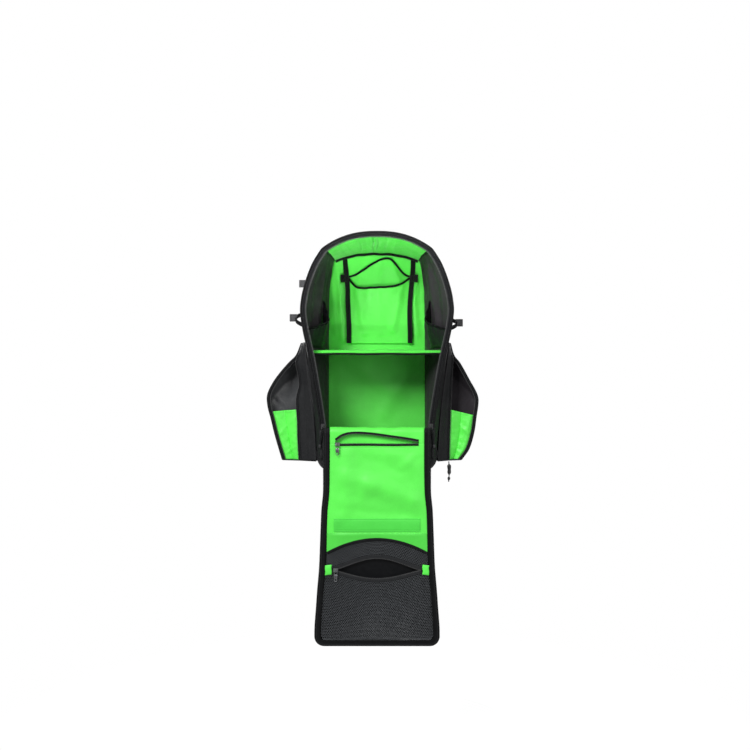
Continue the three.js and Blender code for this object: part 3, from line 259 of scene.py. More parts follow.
# Mesh building
class Build:
    """Gathers closed shapes that become one piece: points, faces, cloth coordinates and material numbers."""

    def __init__(self):
        self.points = []
        self.faces = []
        self.uvs = []
        self.slots = []
        self.count = 0

    def add(self, points, faces, uvs=None, slot=0):
        points = np.asarray(points, float).reshape(-1, 3)
        self.points.append(points)
        for k, face in enumerate(faces):
            self.faces.append(tuple(int(i) + self.count for i in face))
            self.slots.append(slot[k] if isinstance(slot, (list, np.ndarray)) else slot)
            if uvs is None:
                self.uvs.extend((points[i][0], points[i][2] + points[i][1]) for i in face)
            else:
                self.uvs.extend(uvs[k])
        self.count += len(points)
        return self

    def sheet(self, near, offset, uv=None, slots=(0, 0, 0), rim=0.9):
        """A cloth sheet: a grid of near points, the same stepped by an offset, and a rounded rim."""
        near = np.asarray(near, float)
        rows, columns = near.shape[:2]
        offset = np.broadcast_to(offset, near.shape)
        far = near + offset
        if uv is None:
            uv = cloth_lengths(near)
        ids = np.arange(rows * columns).reshape(rows, columns)
        ring = np.concatenate([ids[0, :-1], ids[:-1, -1], ids[-1, :0:-1], ids[:0:-1, 0]])
        j, i = np.divmod(ring, columns)
        inner = clamp(j, 1, rows - 2).astype(int), clamp(i, 1, columns - 2).astype(int)
        middle = (near + offset / 2)[j, i]
        thickness = np.linalg.norm(offset[j, i], axis=-1, keepdims=True)
        out = unit(near[j, i] - near[inner])
        rim_points = middle + out * thickness * 0.5 * rim
        n = rows * columns
        points = np.concatenate([near.reshape(-1, 3), far.reshape(-1, 3), rim_points])
        a, b = ids[:-1, :-1].ravel(), ids[:-1, 1:].ravel()
        c, d = ids[1:, 1:].ravel(), ids[1:, :-1].ravel()
        front = np.stack([a, b, c, d], 1)
        back = np.stack([d, c, b, a], 1) + n
        k = np.arange(len(ring))
        nxt = np.roll(k, -1)
        rim_near = np.stack([ring[nxt], ring[k], 2 * n + k, 2 * n + nxt], 1)
        rim_far = np.stack([2 * n + nxt, 2 * n + k, n + ring[k], n + ring[nxt]], 1)
        flat_uv = np.asarray(uv, float).reshape(-1, 2)
        every_uv = np.concatenate([flat_uv, flat_uv, flat_uv[ring]])
        for group, slot in ((front, slots[0]), (back, slots[1]), (rim_near, slots[2]), (rim_far, slots[2])):
            self.add_block(group, every_uv, slot)
        self.points.append(points)
        self.count += len(points)
        return self

    def add_block(self, group, every_uv, slot):
        self.faces.extend(map(tuple, (group + self.count).tolist()))
        self.slots.extend(np.broadcast_to(slot, len(group)).tolist())
        self.uvs.extend(map(tuple, every_uv[group.ravel()].tolist()))

    def sweep(self, path, side, profile, closed=False, slot=0, scale=None, up=None):
        """A profile of (along the side, along the normal) points swept down a path."""
        path = np.asarray(path, float)
        side = np.broadcast_to(np.asarray(side, float), path.shape)
        if closed:
            tangent = unit(np.roll(path, -1, 0) - np.roll(path, 1, 0))
        else:
            tangent = unit(np.gradient(path, axis=0))
        if up is None:
            side = unit(side - tangent * (side * tangent).sum(-1, keepdims=True))
            normal = np.cross(side, tangent)
        else:
            normal = np.broadcast_to(np.asarray(up, float), path.shape)
        profile = np.asarray(profile, float)
        grow = np.ones(len(path)) if scale is None else np.asarray(scale, float)
        points = (
            path[:, None, :]
            + side[:, None, :] * (profile[None, :, 0:1] * grow[:, None, None])
            + normal[:, None, :] * (profile[None, :, 1:2] * grow[:, None, None])
        )
        n, m = len(path), len(profile)
        run = np.concatenate([[0], np.cumsum(np.linalg.norm(np.diff(path, axis=0), axis=1))])
        round_it = np.concatenate([profile, profile[:1]])
        round_run = np.concatenate([[0], np.cumsum(np.linalg.norm(np.diff(round_it, axis=0), axis=1))])
        base = self.count
        for i in range(n if closed else n - 1):
            a, b = i * m, ((i + 1) % n) * m
            v0, v1 = run[i], run[i + 1] if i + 1 < n else run[i] + 1
            for k in range(m):
                k2 = (k + 1) % m
                self.faces.append((base + a + k, base + a + k2, base + b + k2, base + b + k))
                self.slots.append(slot)
                u0, u1 = round_run[k], round_run[k + 1]
                self.uvs.extend(((u0, v0), (u1, v0), (u1, v1), (u0, v1)))
        if not closed:
            for ring, turn in ((0, -1), (n - 1, 1)):
                face = [base + ring * m + k for k in range(m)][::turn]
                self.faces.append(tuple(face))
                self.slots.append(slot)
                self.uvs.extend([(profile[k][0], profile[k][1]) for k in range(m)][::turn])
        self.points.append(points.reshape(-1, 3))
        self.count += n * m
        return self

    def finish(self, name, materials, slot, replaces=(), body="bag", smooth_angle=50.0, levels=0):
        mesh = bpy.data.meshes.new(name)
        points = to_world(np.concatenate(self.points))
        mesh.from_pydata(points.tolist(), [], self.faces)
        layer = mesh.uv_layers.new(name="cloth")
        layer.data.foreach_set("uv", (np.asarray(self.uvs, np.float32) / 1000.0).ravel())
        for m in materials:
            mesh.materials.append(m)
        mesh.polygons.foreach_set("material_index", self.slots)
        work = bmesh.new()
        work.from_mesh(mesh)
        bmesh.ops.recalc_face_normals(work, faces=work.faces)
        work.to_mesh(mesh)
        work.free()
        mesh.shade_smooth()
        mesh.set_sharp_from_angle(angle=math.radians(smooth_angle))
        mesh.update()
        piece = bpy.data.objects.new(name, mesh)
        bpy.context.scene.collection.objects.link(piece)
        if levels:
            smoother = piece.modifiers.new("smooth", "SUBSURF")
            smoother.levels = smoother.render_levels = levels
        return declare(piece, replaces, body)


def declare(piece, replaces=(), body="bag"):
    piece.name = piece.name.replace(".001", "_look")
    if replaces:
        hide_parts(*replaces)
    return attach(piece, body)


def cloth_lengths(grid):
    """Distances across and down a grid of cloth, for the weave."""
    middle_row, middle_column = grid[len(grid) // 2], grid[:, grid.shape[1] // 2]
    across = np.concatenate([[0], np.cumsum(np.linalg.norm(np.diff(middle_row, axis=0), axis=1))])
    down = np.concatenate([[0], np.cumsum(np.linalg.norm(np.diff(middle_column, axis=0), axis=1))])
    return np.stack(np.broadcast_arrays(across[None, :], down[:, None]), -1)


def grid(point, across, down):
    u, v = np.meshgrid(np.linspace(0, 1, across + 1), np.linspace(0, 1, down + 1))
    return point(u, v)


def resampled(path, count, closed=False):
    path = np.asarray(path, float)
    if closed:
        path = np.concatenate([path, path[:1]])
    run = np.concatenate([[0], np.cumsum(np.linalg.norm(np.diff(path, axis=0), axis=1))])
    at = np.linspace(0, run[-1], count + 1 if closed else count)
    if closed:
        at = at[:-1]
    return np.stack([np.interp(at, run, path[:, k]) for k in range(3)], -1)


def smoothed(path, rounds, closed=False):
    path = np.array(path, float)
    for _ in range(rounds):
        if closed:
            path = (np.roll(path, 1, 0) + 2 * path + np.roll(path, -1, 0)) / 4
        else:
            path[1:-1] = (path[:-2] + 2 * path[1:-1] + path[2:]) / 4
    return path


def curve_through(places, count):
    """A smooth curve through a few places, evenly sampled."""
    places = np.asarray(places, float)
    ends = np.concatenate([[2 * places[0] - places[1]], places, [2 * places[-1] - places[-2]]])
    gaps = np.sqrt(np.maximum(np.linalg.norm(np.diff(ends, axis=0), axis=1), 1e-6))
    out = []
    for i in range(1, len(ends) - 2):
        p0, p1, p2, p3 = ends[i - 1 : i + 3]
        g0, g1, g2 = gaps[i - 1 : i + 2]
        m1 = (p1 - p0) / g0 - (p2 - p0) / (g0 + g1) + (p2 - p1) / g1
        m2 = (p2 - p1) / g1 - (p3 - p1) / (g1 + g2) + (p3 - p2) / g2
        t = np.linspace(0, 1, 24, endpoint=i == len(ends) - 3)[:, None]
        m1, m2 = m1 * g1, m2 * g1
        out.append(
            (2 * t**3 - 3 * t**2 + 1) * p1
            + (t**3 - 2 * t**2 + t) * m1
            + (3 * t**2 - 2 * t**3) * p2
            + (t**3 - t**2) * m2
        )
    return resampled(np.concatenate(out), count)


def round_profile(radius, sides=10, flat=1.0):
    angle = np.arange(sides) / sides * 2 * math.pi
    return np.stack([np.cos(angle) * radius, np.sin(angle) * radius * flat], -1)


def tape_profile(width, thickness, puff=0.0):
    """Section of a webbing or tape: flat with round edges, crowned by puff."""
    half, t = width / 2, thickness / 2
    across = np.array((-1.0, -0.6, 0.0, 0.6, 1.0)) * (half - t)
    crown = t + puff * (1 - (across / half) ** 2)
    top = np.stack([across, crown], -1)
    bottom = np.stack([across[::-1], -t * np.ones(5)], -1)
    right = [(half - 0.3 * t, 0.7 * t), (half, 0.0), (half - 0.3 * t, -0.7 * t)]
    left = [(-half + 0.3 * t, -0.7 * t), (-half, 0.0), (-half + 0.3 * t, 0.7 * t)]
    return np.concatenate([top, right, bottom, left])


def box_shape(centre, size, axes=None, bevel=0.25):
    """A box with cut corners: eight corners, each cut to three points, as one closed shape."""
    axes = np.eye(3) if axes is None else np.asarray(axes, float)
    half = np.asarray(size, float) / 2
    cut = bevel * half.min() * 2
    points, index = [], {}
    for sx in (-1, 1):
        for sy in (-1, 1):
            for sz in (-1, 1):
                for axis in range(3):
                    sign = np.array((sx, sy, sz), float)
                    p = sign * half
                    for other in range(3):
                        if other != axis:
                            p[other] -= sign[other] * cut
                    index[sx, sy, sz, axis] = len(points)
                    points.append(np.asarray(centre, float) + p @ axes)
    faces = []
    for axis in range(3):
        a, b = (axis + 1) % 3, (axis + 2) % 3
        for s in (-1, 1):
            corner = []
            for sa, sb in ((-1, -1), (1, -1), (1, 1), (-1, 1)):
                key = [0, 0, 0]
                key[axis], key[a], key[b] = s, sa, sb
                corner.append(index[(*key, axis)])
            faces.append(corner)
        for sa in (-1, 1):
            for sb in (-1, 1):
                ends = []
                for s in (-1, 1):
                    key = [0, 0, 0]
                    key[axis], key[a], key[b] = s, sa, sb
                    ends.append((index[(*key, a)], index[(*key, b)]))
                faces.append([ends[0][0], ends[0][1], ends[1][1], ends[1][0]])
    for sx in (-1, 1):
        for sy in (-1, 1):
            for sz in (-1, 1):
                faces.append([index[sx, sy, sz, axis] for axis in range(3)])
    return np.array(points), faces


def scatter(build, shape, centres, along, up, slot=0):
    """Copies of a small shape at many places, turned to follow a row."""
    points, faces = shape
    along = unit(np.broadcast_to(along, centres.shape))
    up = np.broadcast_to(up, centres.shape)
    up = unit(up - along * (up * along).sum(-1, keepdims=True))
    out = np.cross(up, along)
    axes = np.stack([along, out, up], 1)
    placed = centres[:, None, :] + np.einsum("pk,nkc->npc", points, axes)
    count = len(points)
    every = [tuple(i + count * k for i in face) for k in range(len(centres)) for face in faces]
    return build.add(placed.reshape(-1, 3), every, slot=slot)


def along_row(path, pitch, normal=None, start=0.0, end=0.0):
    """Evenly spaced places on a row with their directions, and the normal there."""
    path = np.asarray(path, float)
    run = np.concatenate([[0], np.cumsum(np.linalg.norm(np.diff(path, axis=0), axis=1))])
    at = np.arange(start + pitch / 2, run[-1] - end, pitch)
    centres = np.stack([np.interp(at, run, path[:, k]) for k in range(3)], -1)
    ahead = np.stack([np.interp(at + 0.5, run, path[:, k]) for k in range(3)], -1)
    behind = np.stack([np.interp(at - 0.5, run, path[:, k]) for k in range(3)], -1)
    if normal is None:
        return centres, unit(ahead - behind)
    normal = np.broadcast_to(normal, path.shape)
    return centres, unit(ahead - behind), unit(
        np.stack([np.interp(at, run, normal[:, k]) for k in range(3)], -1)
    )


def stitch_shape(length, radius, sides=4):
    angle = (np.arange(sides) + 0.5) / sides * 2 * math.pi
    ring = np.stack([np.zeros(sides), np.cos(angle) * radius, np.sin(angle) * radius * 0.8], -1)
    shift = np.array((length * 0.32, 0, 0))
    points = np.concatenate(
        [[(-length / 2, 0, -radius * 0.5)], ring - shift, ring + shift, [(length / 2, 0, -radius * 0.5)]]
    )
    faces = []
    for k in range(sides):
        k2 = (k + 1) % sides
        faces.append((0, 1 + k2, 1 + k))
        faces.append((1 + k, 1 + k2, 1 + sides + k2, 1 + sides + k))
        faces.append((1 + 2 * sides, 1 + sides + k, 1 + sides + k2))
    return points, faces


def stitch(build, path, normal, length=2.7, pitch=3.9, radius=0.42, start=0.0, end=0.0):
    centres, along, up = along_row(path, pitch, normal, start, end)
    if len(centres):
        scatter(build, stitch_shape(length, radius), centres, along, up)


def tooth_shape(width, reach, thickness):
    """One tooth of a zip: a peg that stands out from the tape's edge, with a rounded head."""
    half, end, side = width / 2, reach / 2, thickness / 2
    profile = [
        (-end, -side),
        (end - 0.5, -side),
        (end, -side * 0.45),
        (end, side * 0.45),
        (end - 0.5, side),
        (-end, side),
    ]
    points = np.array([(x, y, z) for x in (-half, half) for y, z in profile])
    around = [(k, (k + 1) % 6, (k + 1) % 6 + 6, k + 6) for k in range(6)]
    return points, [tuple(range(6))[::-1], tuple(range(6, 12)), *around]


def teeth(build, path, out, normal, pitch=2.0, width=1.25, reach=3.2, thickness=2.0, start=1.0, end=1.0):
    """A row of teeth along the free edge of a zip tape."""
    path = np.asarray(path, float)
    normal = np.broadcast_to(normal, path.shape)
    out = np.broadcast_to(out, path.shape)
    centres, along, up = along_row(path, pitch, normal, start, end)
    scatter(build, tooth_shape(width, reach, thickness), centres, along, up)


class Nodes:
    """A material's shader tree."""

    def __init__(self, name, **constants):
        self.material = bpy.data.materials.new(name)
        self.material.use_nodes = True
        self.tree = self.material.node_tree
        self.tree.nodes.clear()
        out = self.add("ShaderNodeOutputMaterial")
        self.shader = self.add("ShaderNodeBsdfPrincipled")
        self.tree.links.new(self.shader.outputs[0], out.inputs["Surface"])
        for socket, value in constants.items():
            self.shader.inputs[socket.replace("_", " ")].default_value = value
        self.place = self.add("ShaderNodeTexCoord").outputs["Object"]
        self.normal = None

    def add(self, kind, inputs=(), **settings):
        made = self.tree.nodes.new(kind)
        for key, value in settings.items():
            setattr(made, key, value)
        for key, value in dict(inputs).items():
            if isinstance(value, bpy.types.NodeSocket):
                self.tree.links.new(value, made.inputs[key])
            else:
                made.inputs[key].default_value = value
        return made

    def math(self, operation, a, b=0.0):
        return self.add("ShaderNodeMath", {0: a, 1: b}, operation=operation).outputs[0]

    def noise(self, size_mm, detail=3.0, roughness=0.5, distortion=0.0, stretch=None):
        source = self.place
        if stretch is not None:
            source = self.add("ShaderNodeMapping", {"Vector": source, "Scale": stretch}).outputs[0]
        values = {
            "Vector": source,
            "Scale": 1000.0 / size_mm,
            "Detail": detail,
            "Roughness": roughness,
            "Distortion": distortion,
        }
        return self.add("ShaderNodeTexNoise", values).outputs[0]

    def span(self, value, low, high, from_low=0.0, from_high=1.0):
        values = {
            "Value": value, "From Min": from_low, "From Max": from_high, "To Min": low, "To Max": high
        }
        return self.add("ShaderNodeMapRange", values, clamp=True).outputs[0]

    def blend(self, share, a, b, how="MIX"):
        made = self.add("ShaderNodeMix", {0: share}, data_type="RGBA", blend_type=how)
        for index, value in ((6, a), (7, b)):
            if isinstance(value, bpy.types.NodeSocket):
                self.tree.links.new(value, made.inputs[index])
            else:
                made.inputs[index].default_value = (*value, 1.0)
        return made.outputs[2]

    def bump(self, height, distance_mm, strength=1.0):
        values = {"Height": height, "Distance": distance_mm / 1000.0, "Strength": strength}
        if self.normal is not None:
            values["Normal"] = self.normal
        self.normal = self.add("ShaderNodeBump", values).outputs[0]

    def done(self, colour=None, rough=None):
        if colour is not None:
            self.tree.links.new(colour, self.shader.inputs["Base Color"])
        if rough is not None:
            self.tree.links.new(rough, self.shader.inputs["Roughness"])
        if self.normal is not None:
            self.tree.links.new(self.normal, self.shader.inputs["Normal"])
        return self.material


def shade(colour, amount):
    return tuple(min(1.0, c * amount) for c in colour)


def fabric(
    name,
    colour,
    rough,
    pitch,
    weave,
    twill=False,
    ribs=0.0,
    crumple=(30.0, 0.5),
    fuzz=0.0,
    wear=0.1,
    upright=False,
    gloss=0.07,
    sheen=(0.006, 0.5),
):
    """Woven cloth: threads from the cloth's own coordinates, soft crumple, uneven tone, painted shade between
    the threads and pale worn edges.
    """
    n = Nodes(name, Specular_IOR_Level=gloss, Sheen_Weight=sheen[0], Sheen_Roughness=sheen[1])
    n.bump(n.noise(crumple[0], 2.0, 0.45, 0.6), crumple[1] * 2.4)
    n.bump(n.noise(crumple[0] / 4.5, 2.0, 0.5, 0.4), crumple[1] * 0.3)
    source = n.place if upright else n.add("ShaderNodeUVMap", uv_map="cloth").outputs[0]
    cloth = n.add("ShaderNodeSeparateXYZ", {0: source})
    turn = 2000.0 * math.pi / pitch
    across = n.math("MULTIPLY", cloth.outputs[0], turn)
    down = n.math("MULTIPLY", cloth.outputs[2 if upright else 1], turn)
    if twill:
        threads = n.math("SINE", n.math("ADD", across, down))
        threads = n.math(
            "ADD", threads, n.math("MULTIPLY", n.math("SINE", n.math("MULTIPLY", across, 2.0)), 0.4)
        )
    else:
        threads = n.math("MULTIPLY", n.math("SINE", across), n.math("SINE", down))
    height = n.span(threads, 0.0, 1.0, -1.0, 1.0)
    n.bump(height, weave)
    if ribs:
        rib = n.math("SINE", n.math("MULTIPLY", cloth.outputs[0], 2000.0 * math.pi / ribs))
        n.bump(n.span(rib, 0.0, 1.0, -1.0, 1.0), 0.22)
    if fuzz:
        n.bump(n.noise(1.6, 4.0, 0.7), fuzz)
    colour_mix = n.blend(
        n.span(n.noise(70.0, 2.0, 0.5), 0.0, 1.0, 0.3, 0.7), shade(colour, 0.93), shade(colour, 1.06)
    )
    colour_mix = n.blend(n.span(n.noise(2.4, 3.0, 0.6), 0.0, 0.3, 0.35, 0.75), colour_mix, shade(colour, 0.82))
    # Darker where the weave dips: painted shade in the hollows between the threads.
    colour_mix = n.blend(n.span(height, 0.28, 0.0), colour_mix, shade(colour, 0.62))
    edge = n.add("ShaderNodeNewGeometry").outputs["Pointiness"]
    worn = n.math(
        "MULTIPLY",
        n.span(edge, 0.0, wear, 0.505, 0.58),
        n.span(n.noise(9.0, 4.0, 0.7), 0.2, 1.0, 0.35, 0.65),
    )
    pale = tuple(c + 0.07 * (1 - c) for c in colour)
    rougher = n.span(n.noise(12.0, 3.0, 0.6), rough - 0.07, rough + 0.07, 0.3, 0.7)
    return n.done(n.blend(worn, colour_mix, pale), rougher)


def moulded(
    name, colour, rough, grain=0.5, depth=0.06, metallic=0.0, scratch=0.0, bright=0.07, constants=()
):
    """Moulded rubber, plastic or cast metal: fine grain, uneven gloss and worn edges."""
    n = Nodes(name, Metallic=metallic, **dict(constants))
    n.bump(n.noise(grain, 4.0, 0.6), depth)
    if scratch:
        n.bump(n.noise(6.0, 5.0, 0.7, 0.3, stretch=(1.0, 1.0, 14.0)), scratch)
    colour_mix = n.blend(
        n.span(n.noise(14.0, 4.0, 0.6), 0.0, 1.0, 0.3, 0.7), shade(colour, 0.8), shade(colour, 1.12)
    )
    edge = n.add("ShaderNodeNewGeometry").outputs["Pointiness"]
    pale = tuple(c + bright * (1 - c) for c in colour)
    worn = n.blend(n.span(edge, 0.0, 0.35, 0.51, 0.62), colour_mix, pale)
    return n.done(worn, n.span(n.noise(5.0, 4.0, 0.65), rough - 0.08, rough + 0.1, 0.3, 0.7))


SOFT = {"Specular_IOR_Level": 0.07, "Sheen_Weight": 0.006, "Sheen_Roughness": 0.5}
BLACK = (0.0062, 0.0068, 0.0079)
GREEN = (0.105, 0.83, 0.078)

green_look = {"rough": 0.46, "pitch": 0.55, "weave": 0.035, "crumple": (46.0, 0.4), "gloss": 0.42}
green_nylon = fabric("green_nylon", GREEN, sheen=(0.15, 0.35), **green_look)
green_band = fabric(
    "green_band", (0.07, 0.66, 0.062), 0.5, 0.6, 0.05, crumple=(30.0, 0.3), gloss=0.35, sheen=(0.12, 0.4)
)
# A darker copy of the green nylon for the lining below the band: painted shade on the same cloth.
painted_shade_green = fabric("green_nylon_painted_shade", (0.078, 0.66, 0.06), sheen=(0.15, 0.35), **green_look)
black_cloth = fabric("black_cloth", BLACK, 0.56, 1.1, 0.09, crumple=(34.0, 0.7), gloss=0.26)
# The wall lining's slight purple bias is painted to cancel the green light that the lining reflects onto it.
black_lining = fabric(
    "black_lining", (0.036, 0.0318, 0.0368), 0.56, 0.7, 0.04, crumple=(40.0, 0.5), gloss=0.12
)
black_backing = fabric("black_backing", (0.0034, 0.0038, 0.0046), 0.42, 0.9, 0.05, wear=0.05, gloss=0.16)
grey_cloth = fabric("grey_cloth", (0.085, 0.088, 0.092), 0.36, 1.0, 0.05, crumple=(26.0, 0.6), gloss=0.5)
# Black cloth with a blue-grey tint for the right pocket's outer wall: the tint is a painted reflection.
painted_reflection_cloth = fabric(
    "black_cloth_painted_blue_reflection", (0.02, 0.024, 0.038), 0.42, 1.1, 0.09, crumple=(30.0, 0.8), gloss=0.45
)
webbing_look = {"twill": True, "ribs": 2.6, "crumple": (18.0, 0.12), "wear": 0.14}
webbing = fabric("ribbed_webbing", (0.0066, 0.007, 0.0077), 0.7, 1.3, 0.12, **webbing_look)
tape_look = {"pitch": 0.8, "weave": 0.09, "twill": True, "crumple": (14.0, 0.12), "wear": 0.12}
tape = fabric("zip_tape", (0.0072, 0.0076, 0.0083), 0.72, **tape_look)
grey_tape = fabric("grey_tape", (0.02, 0.021, 0.0225), 0.68, **tape_look)
piping_cloth = fabric(
    "piping_cloth", (0.0036, 0.0039, 0.0043), 0.6, 0.9, 0.07, twill=True, crumple=(10.0, 0.1), wear=0.2
)
net_cord = fabric("net_cord", (0.1, 0.107, 0.115), 0.4, 0.6, 0.05, crumple=(8.0, 0.05), gloss=0.5)
pad_look = {"crumple": (22.0, 0.3), "fuzz": 0.1, "wear": 0.12, "upright": True}
mesh_pad = fabric("mesh_padding", (0.019, 0.0195, 0.021), 0.82, 2.2, 0.35, **pad_look)
black_thread = moulded("black_thread", (0.015, 0.0156, 0.017), 0.55, 0.4, 0.05, constants=SOFT)
green_thread = moulded("green_thread", (0.06, 0.6, 0.05), 0.5, 0.4, 0.05, constants=SOFT)
black_teeth = moulded("moulded_teeth", (0.014, 0.0144, 0.0155), 0.38, 0.8, 0.04)
rubber = moulded(
    "matte_rubber", (0.014, 0.0145, 0.016), 0.5, 0.7, 0.08, constants={"Specular_IOR_Level": 0.35}
)
grey_rubber = moulded(
    "grey_rubber", (0.022, 0.0235, 0.027), 0.5, 0.7, 0.08, constants={"Specular_IOR_Level": 0.35}
)
cord_cloth = fabric(
    "cord_sheath", (0.011, 0.0115, 0.0125), 0.62, 1.4, 0.3, twill=True, crumple=(5.0, 0.05), wear=0.12
)
satin_metal = moulded(
    "satin_metal", (0.2, 0.205, 0.215), 0.32, 0.9, 0.03, metallic=1.0, scratch=0.02, bright=0.3
)


# Shapes of the frame, over arrays
def back_half(z):
    return BACK_WIDTH / 2 * lookup(OUTLINE, "back", z / SHOULDER)


def front_half(z):
    return MOUTH_WIDTH / 2 * lookup(OUTLINE, "mouth", z / SHOULDER) + MOUTH_BAND


def body_half(z, depth):
    bulge = BULGE * lookup(OUTLINE, "bulge", z / SHOULDER)
    upper = clamp((z / SHOULDER - 0.5) / 0.15) * clamp((1 - z / SHOULDER) / 0.12)
    fold = 3.0 * upper * np.sin(6 * math.pi * depth) * 4 * clamp(depth) * clamp(1 - depth)
    return mix(back_half(z), front_half(z), depth**2) + bulge * np.sin(math.pi * depth**3) + fold


def arch_height(across, depth):
    top = mix(BACK_HEIGHT, BAG_HEIGHT, depth)
    folds = sum(2.4 * deep * hump(across, middle, width) for middle, width, deep in TOP_FOLDS)
    folds = folds * 4 * clamp(depth) * clamp(1 - depth)
    return mix(SHOULDER, top, 1 - np.abs(2 * across - 1) ** 2.4) - folds


def ring_point(turn, depth):
    """The body's outer surface: 0 to 1 up the right, 2 over the arch, 3 down the left, 4 along the base."""
    turn, depth = np.broadcast_arrays(np.asarray(turn, float), np.asarray(depth, float))
    at = np.mod(turn, 4)
    y = -DEPTH * depth
    z_right = mix(BASE_CORNER, SHOULDER, clamp(at))
    z_left = mix(SHOULDER, BASE_CORNER, clamp(at - 2))
    share = clamp(at - 1)
    half = body_half(np.full(np.shape(at), BASE_CORNER), depth)
    along = clamp(at - 3)
    to_corner = np.minimum(along, 1 - along) / 0.2
    side = np.where(along < 0.5, -1.0, 1.0)
    angle = clamp(to_corner) * math.pi / 2
    flat = (along - 0.2) / 0.6
    base_x = np.where(
        to_corner < 1,
        side * (half - BASE_CORNER * (1 - np.cos(angle))),
        mix(-1, 1, flat) * (half - BASE_CORNER),
    )
    base_z = np.where(to_corner < 1, BASE_CORNER * (1 - np.sin(angle)), 0.0)
    x = np.select(
        [at <= 1, at <= 2, at <= 3],
        [
            body_half(z_right, depth),
            body_half(np.full(np.shape(at), SHOULDER), depth) * (1 - 2 * share),
            -body_half(z_left, depth),
        ],
        base_x,
    )
    z = np.select([at <= 1, at <= 2, at <= 3], [z_right, arch_height(1 - share, depth), z_left], base_z)
    return vec(x, y, z)


def inward_at(turn, depth):
    step = 0.012
    inward = np.cross(
        ring_point(turn, depth + step) - ring_point(turn, depth - step),
        ring_point(turn + step, depth) - ring_point(turn - step, depth),
    )
    inward[..., 1] = 0
    return unit(inward)


def shelf_at(depth):
    return SHELF_HEIGHT - SHELF_FALL * depth


def flap_point(x, drop, lift):
    """A point of the hanging front panel: across, down from the fold's start, and lifted to the front."""
    x, drop, lift = np.broadcast_arrays(*(np.asarray(c, float) for c in (x, drop, lift)))
    stand = mix(FLAP_STAND_OFF, FLAP_END_STAND_OFF, clamp(drop / FLAP_LENGTH))
    angle = -np.minimum(drop, 0) / FLAP_FOLD_RADIUS
    radius = FLAP_FOLD_RADIUS + lift
    middle = DEPTH + FLAP_STAND_OFF - FLAP_FOLD_RADIUS
    y = np.where(drop >= 0, -(DEPTH + stand + lift), -(middle + radius * np.cos(angle)))
    z = np.where(drop >= 0, FOLD_START - drop, FOLD_START + radius * np.sin(angle))
    return vec(x, y, z)


def flap_half(drop):
    straight = FLAP_WIDTH / 2 * lookup(FLAP, "width", np.asarray(drop) / FLAP_LENGTH)
    sunk = clamp(drop - (FLAP_LENGTH - FLAP_CORNER), 0, FLAP_CORNER)
    return straight - (FLAP_CORNER - np.sqrt(np.maximum(FLAP_CORNER**2 - sunk**2, 0)))


FLAP_END = FLAP_LENGTH - FLAP_EDGE - GAP


def inside_edge(drop):
    side = flap_half(np.minimum(drop, FLAP_LENGTH - FLAP_CORNER)) - FLAP_EDGE - 3 * GAP
    sunk = clamp(drop - (FLAP_END - 13.0), 0, 13.0)
    return side - 0.7 * (13.0 - np.sqrt(np.maximum(169.0 - sunk**2, 0)))


def net_top(u):
    return NET_TOP_DROP + NET_TOP_FALL * np.abs(2 * u - 1) ** 2


def gape_at(x):
    open_by = LINING_ZIP_GAPE * lookup(LINING_GAPE, "open", (x + LINING_ZIP_HALF) / (2 * LINING_ZIP_HALF))
    return np.where(np.abs(x) > LINING_ZIP_HALF, 0.0, open_by)


def net_mouth_upper(v):
    return NET_MOUTH_DROP - NET_MOUTH_RISE * np.sin(math.pi * clamp(v)) ** 1.3


def net_mouth_lower(v):
    return NET_MOUTH_DROP + NET_MOUTH_SAG * np.sin(math.pi * clamp(v)) ** 1.2


def net_mouth_lift(v):
    return NET_BULGE * 0.75 * np.sin(math.pi * clamp(v))


black_stitches, green_stitches, zip_teeth = Build(), Build(), Build()


# Body panels
def side_folds(z, depth):
    """How far the cloth inside a side wall stands in, in soft upright folds."""
    upper = clamp((z - 296) / 46) * clamp((SHOULDER + 2 - z) / 34)
    lower = clamp((z - 40) / 40) * clamp((262 - z) / 30)
    sway = 0.022 * np.sin(z / 41.0) + 0.014 * np.sin(z / 19.0 + 1.3)
    high = (
        3.4 * hump(depth, 0.2 + sway, 0.05)
        + 4.4 * hump(depth, 0.4 - 0.6 * sway + 0.0002 * (z - 400), 0.06)
        + 3.8 * hump(depth, 0.61 + sway, 0.045)
        + 3.0 * hump(depth, 0.8 - sway, 0.05)
    )
    low = 2.4 * hump(depth, 0.32 + sway, 0.07) + 2.8 * hump(depth, 0.62 - sway, 0.08)
    fade = 4 * clamp(depth) * clamp(1 - depth)
    return (upper * high + lower * low) * clamp(2 * fade)


def body_panel(name, start, end, across, down, inside, inner):
    """One panel of the shell, from the outer surface inwards, with folds of its own on each face."""
    u, v = np.meshgrid(np.linspace(start + 0.0006, end - 0.0006, across + 1), np.linspace(0, 1, down + 1))
    outer, inward = ring_point(u, v), inward_at(u, v)
    fold_out, fold_in = inner(u, v, outer)
    near = outer + inward * fold_out[..., None]
    offset = inward * (WALL + fold_in - fold_out)[..., None]
    build = Build().sheet(near, offset, slots=(0, 1, 0))
    slot = "green_lining" if inside is green_nylon else "black_cloth"
    return build.finish(name, [black_cloth, inside], slot, [name])


def side_shape(u, v, outer):
    z = outer[..., 2]
    fade = clamp(8 * np.minimum(v, 1 - v))
    grain = lumps(outer, 46.0, 3.1)
    inside = side_folds(z, v) + (0.9 * lumps(outer, 21.0, 8.0) + 0.5) * fade
    return (0.5 * side_folds(z, v) + (1.0 + 1.3 * grain)) * fade, inside


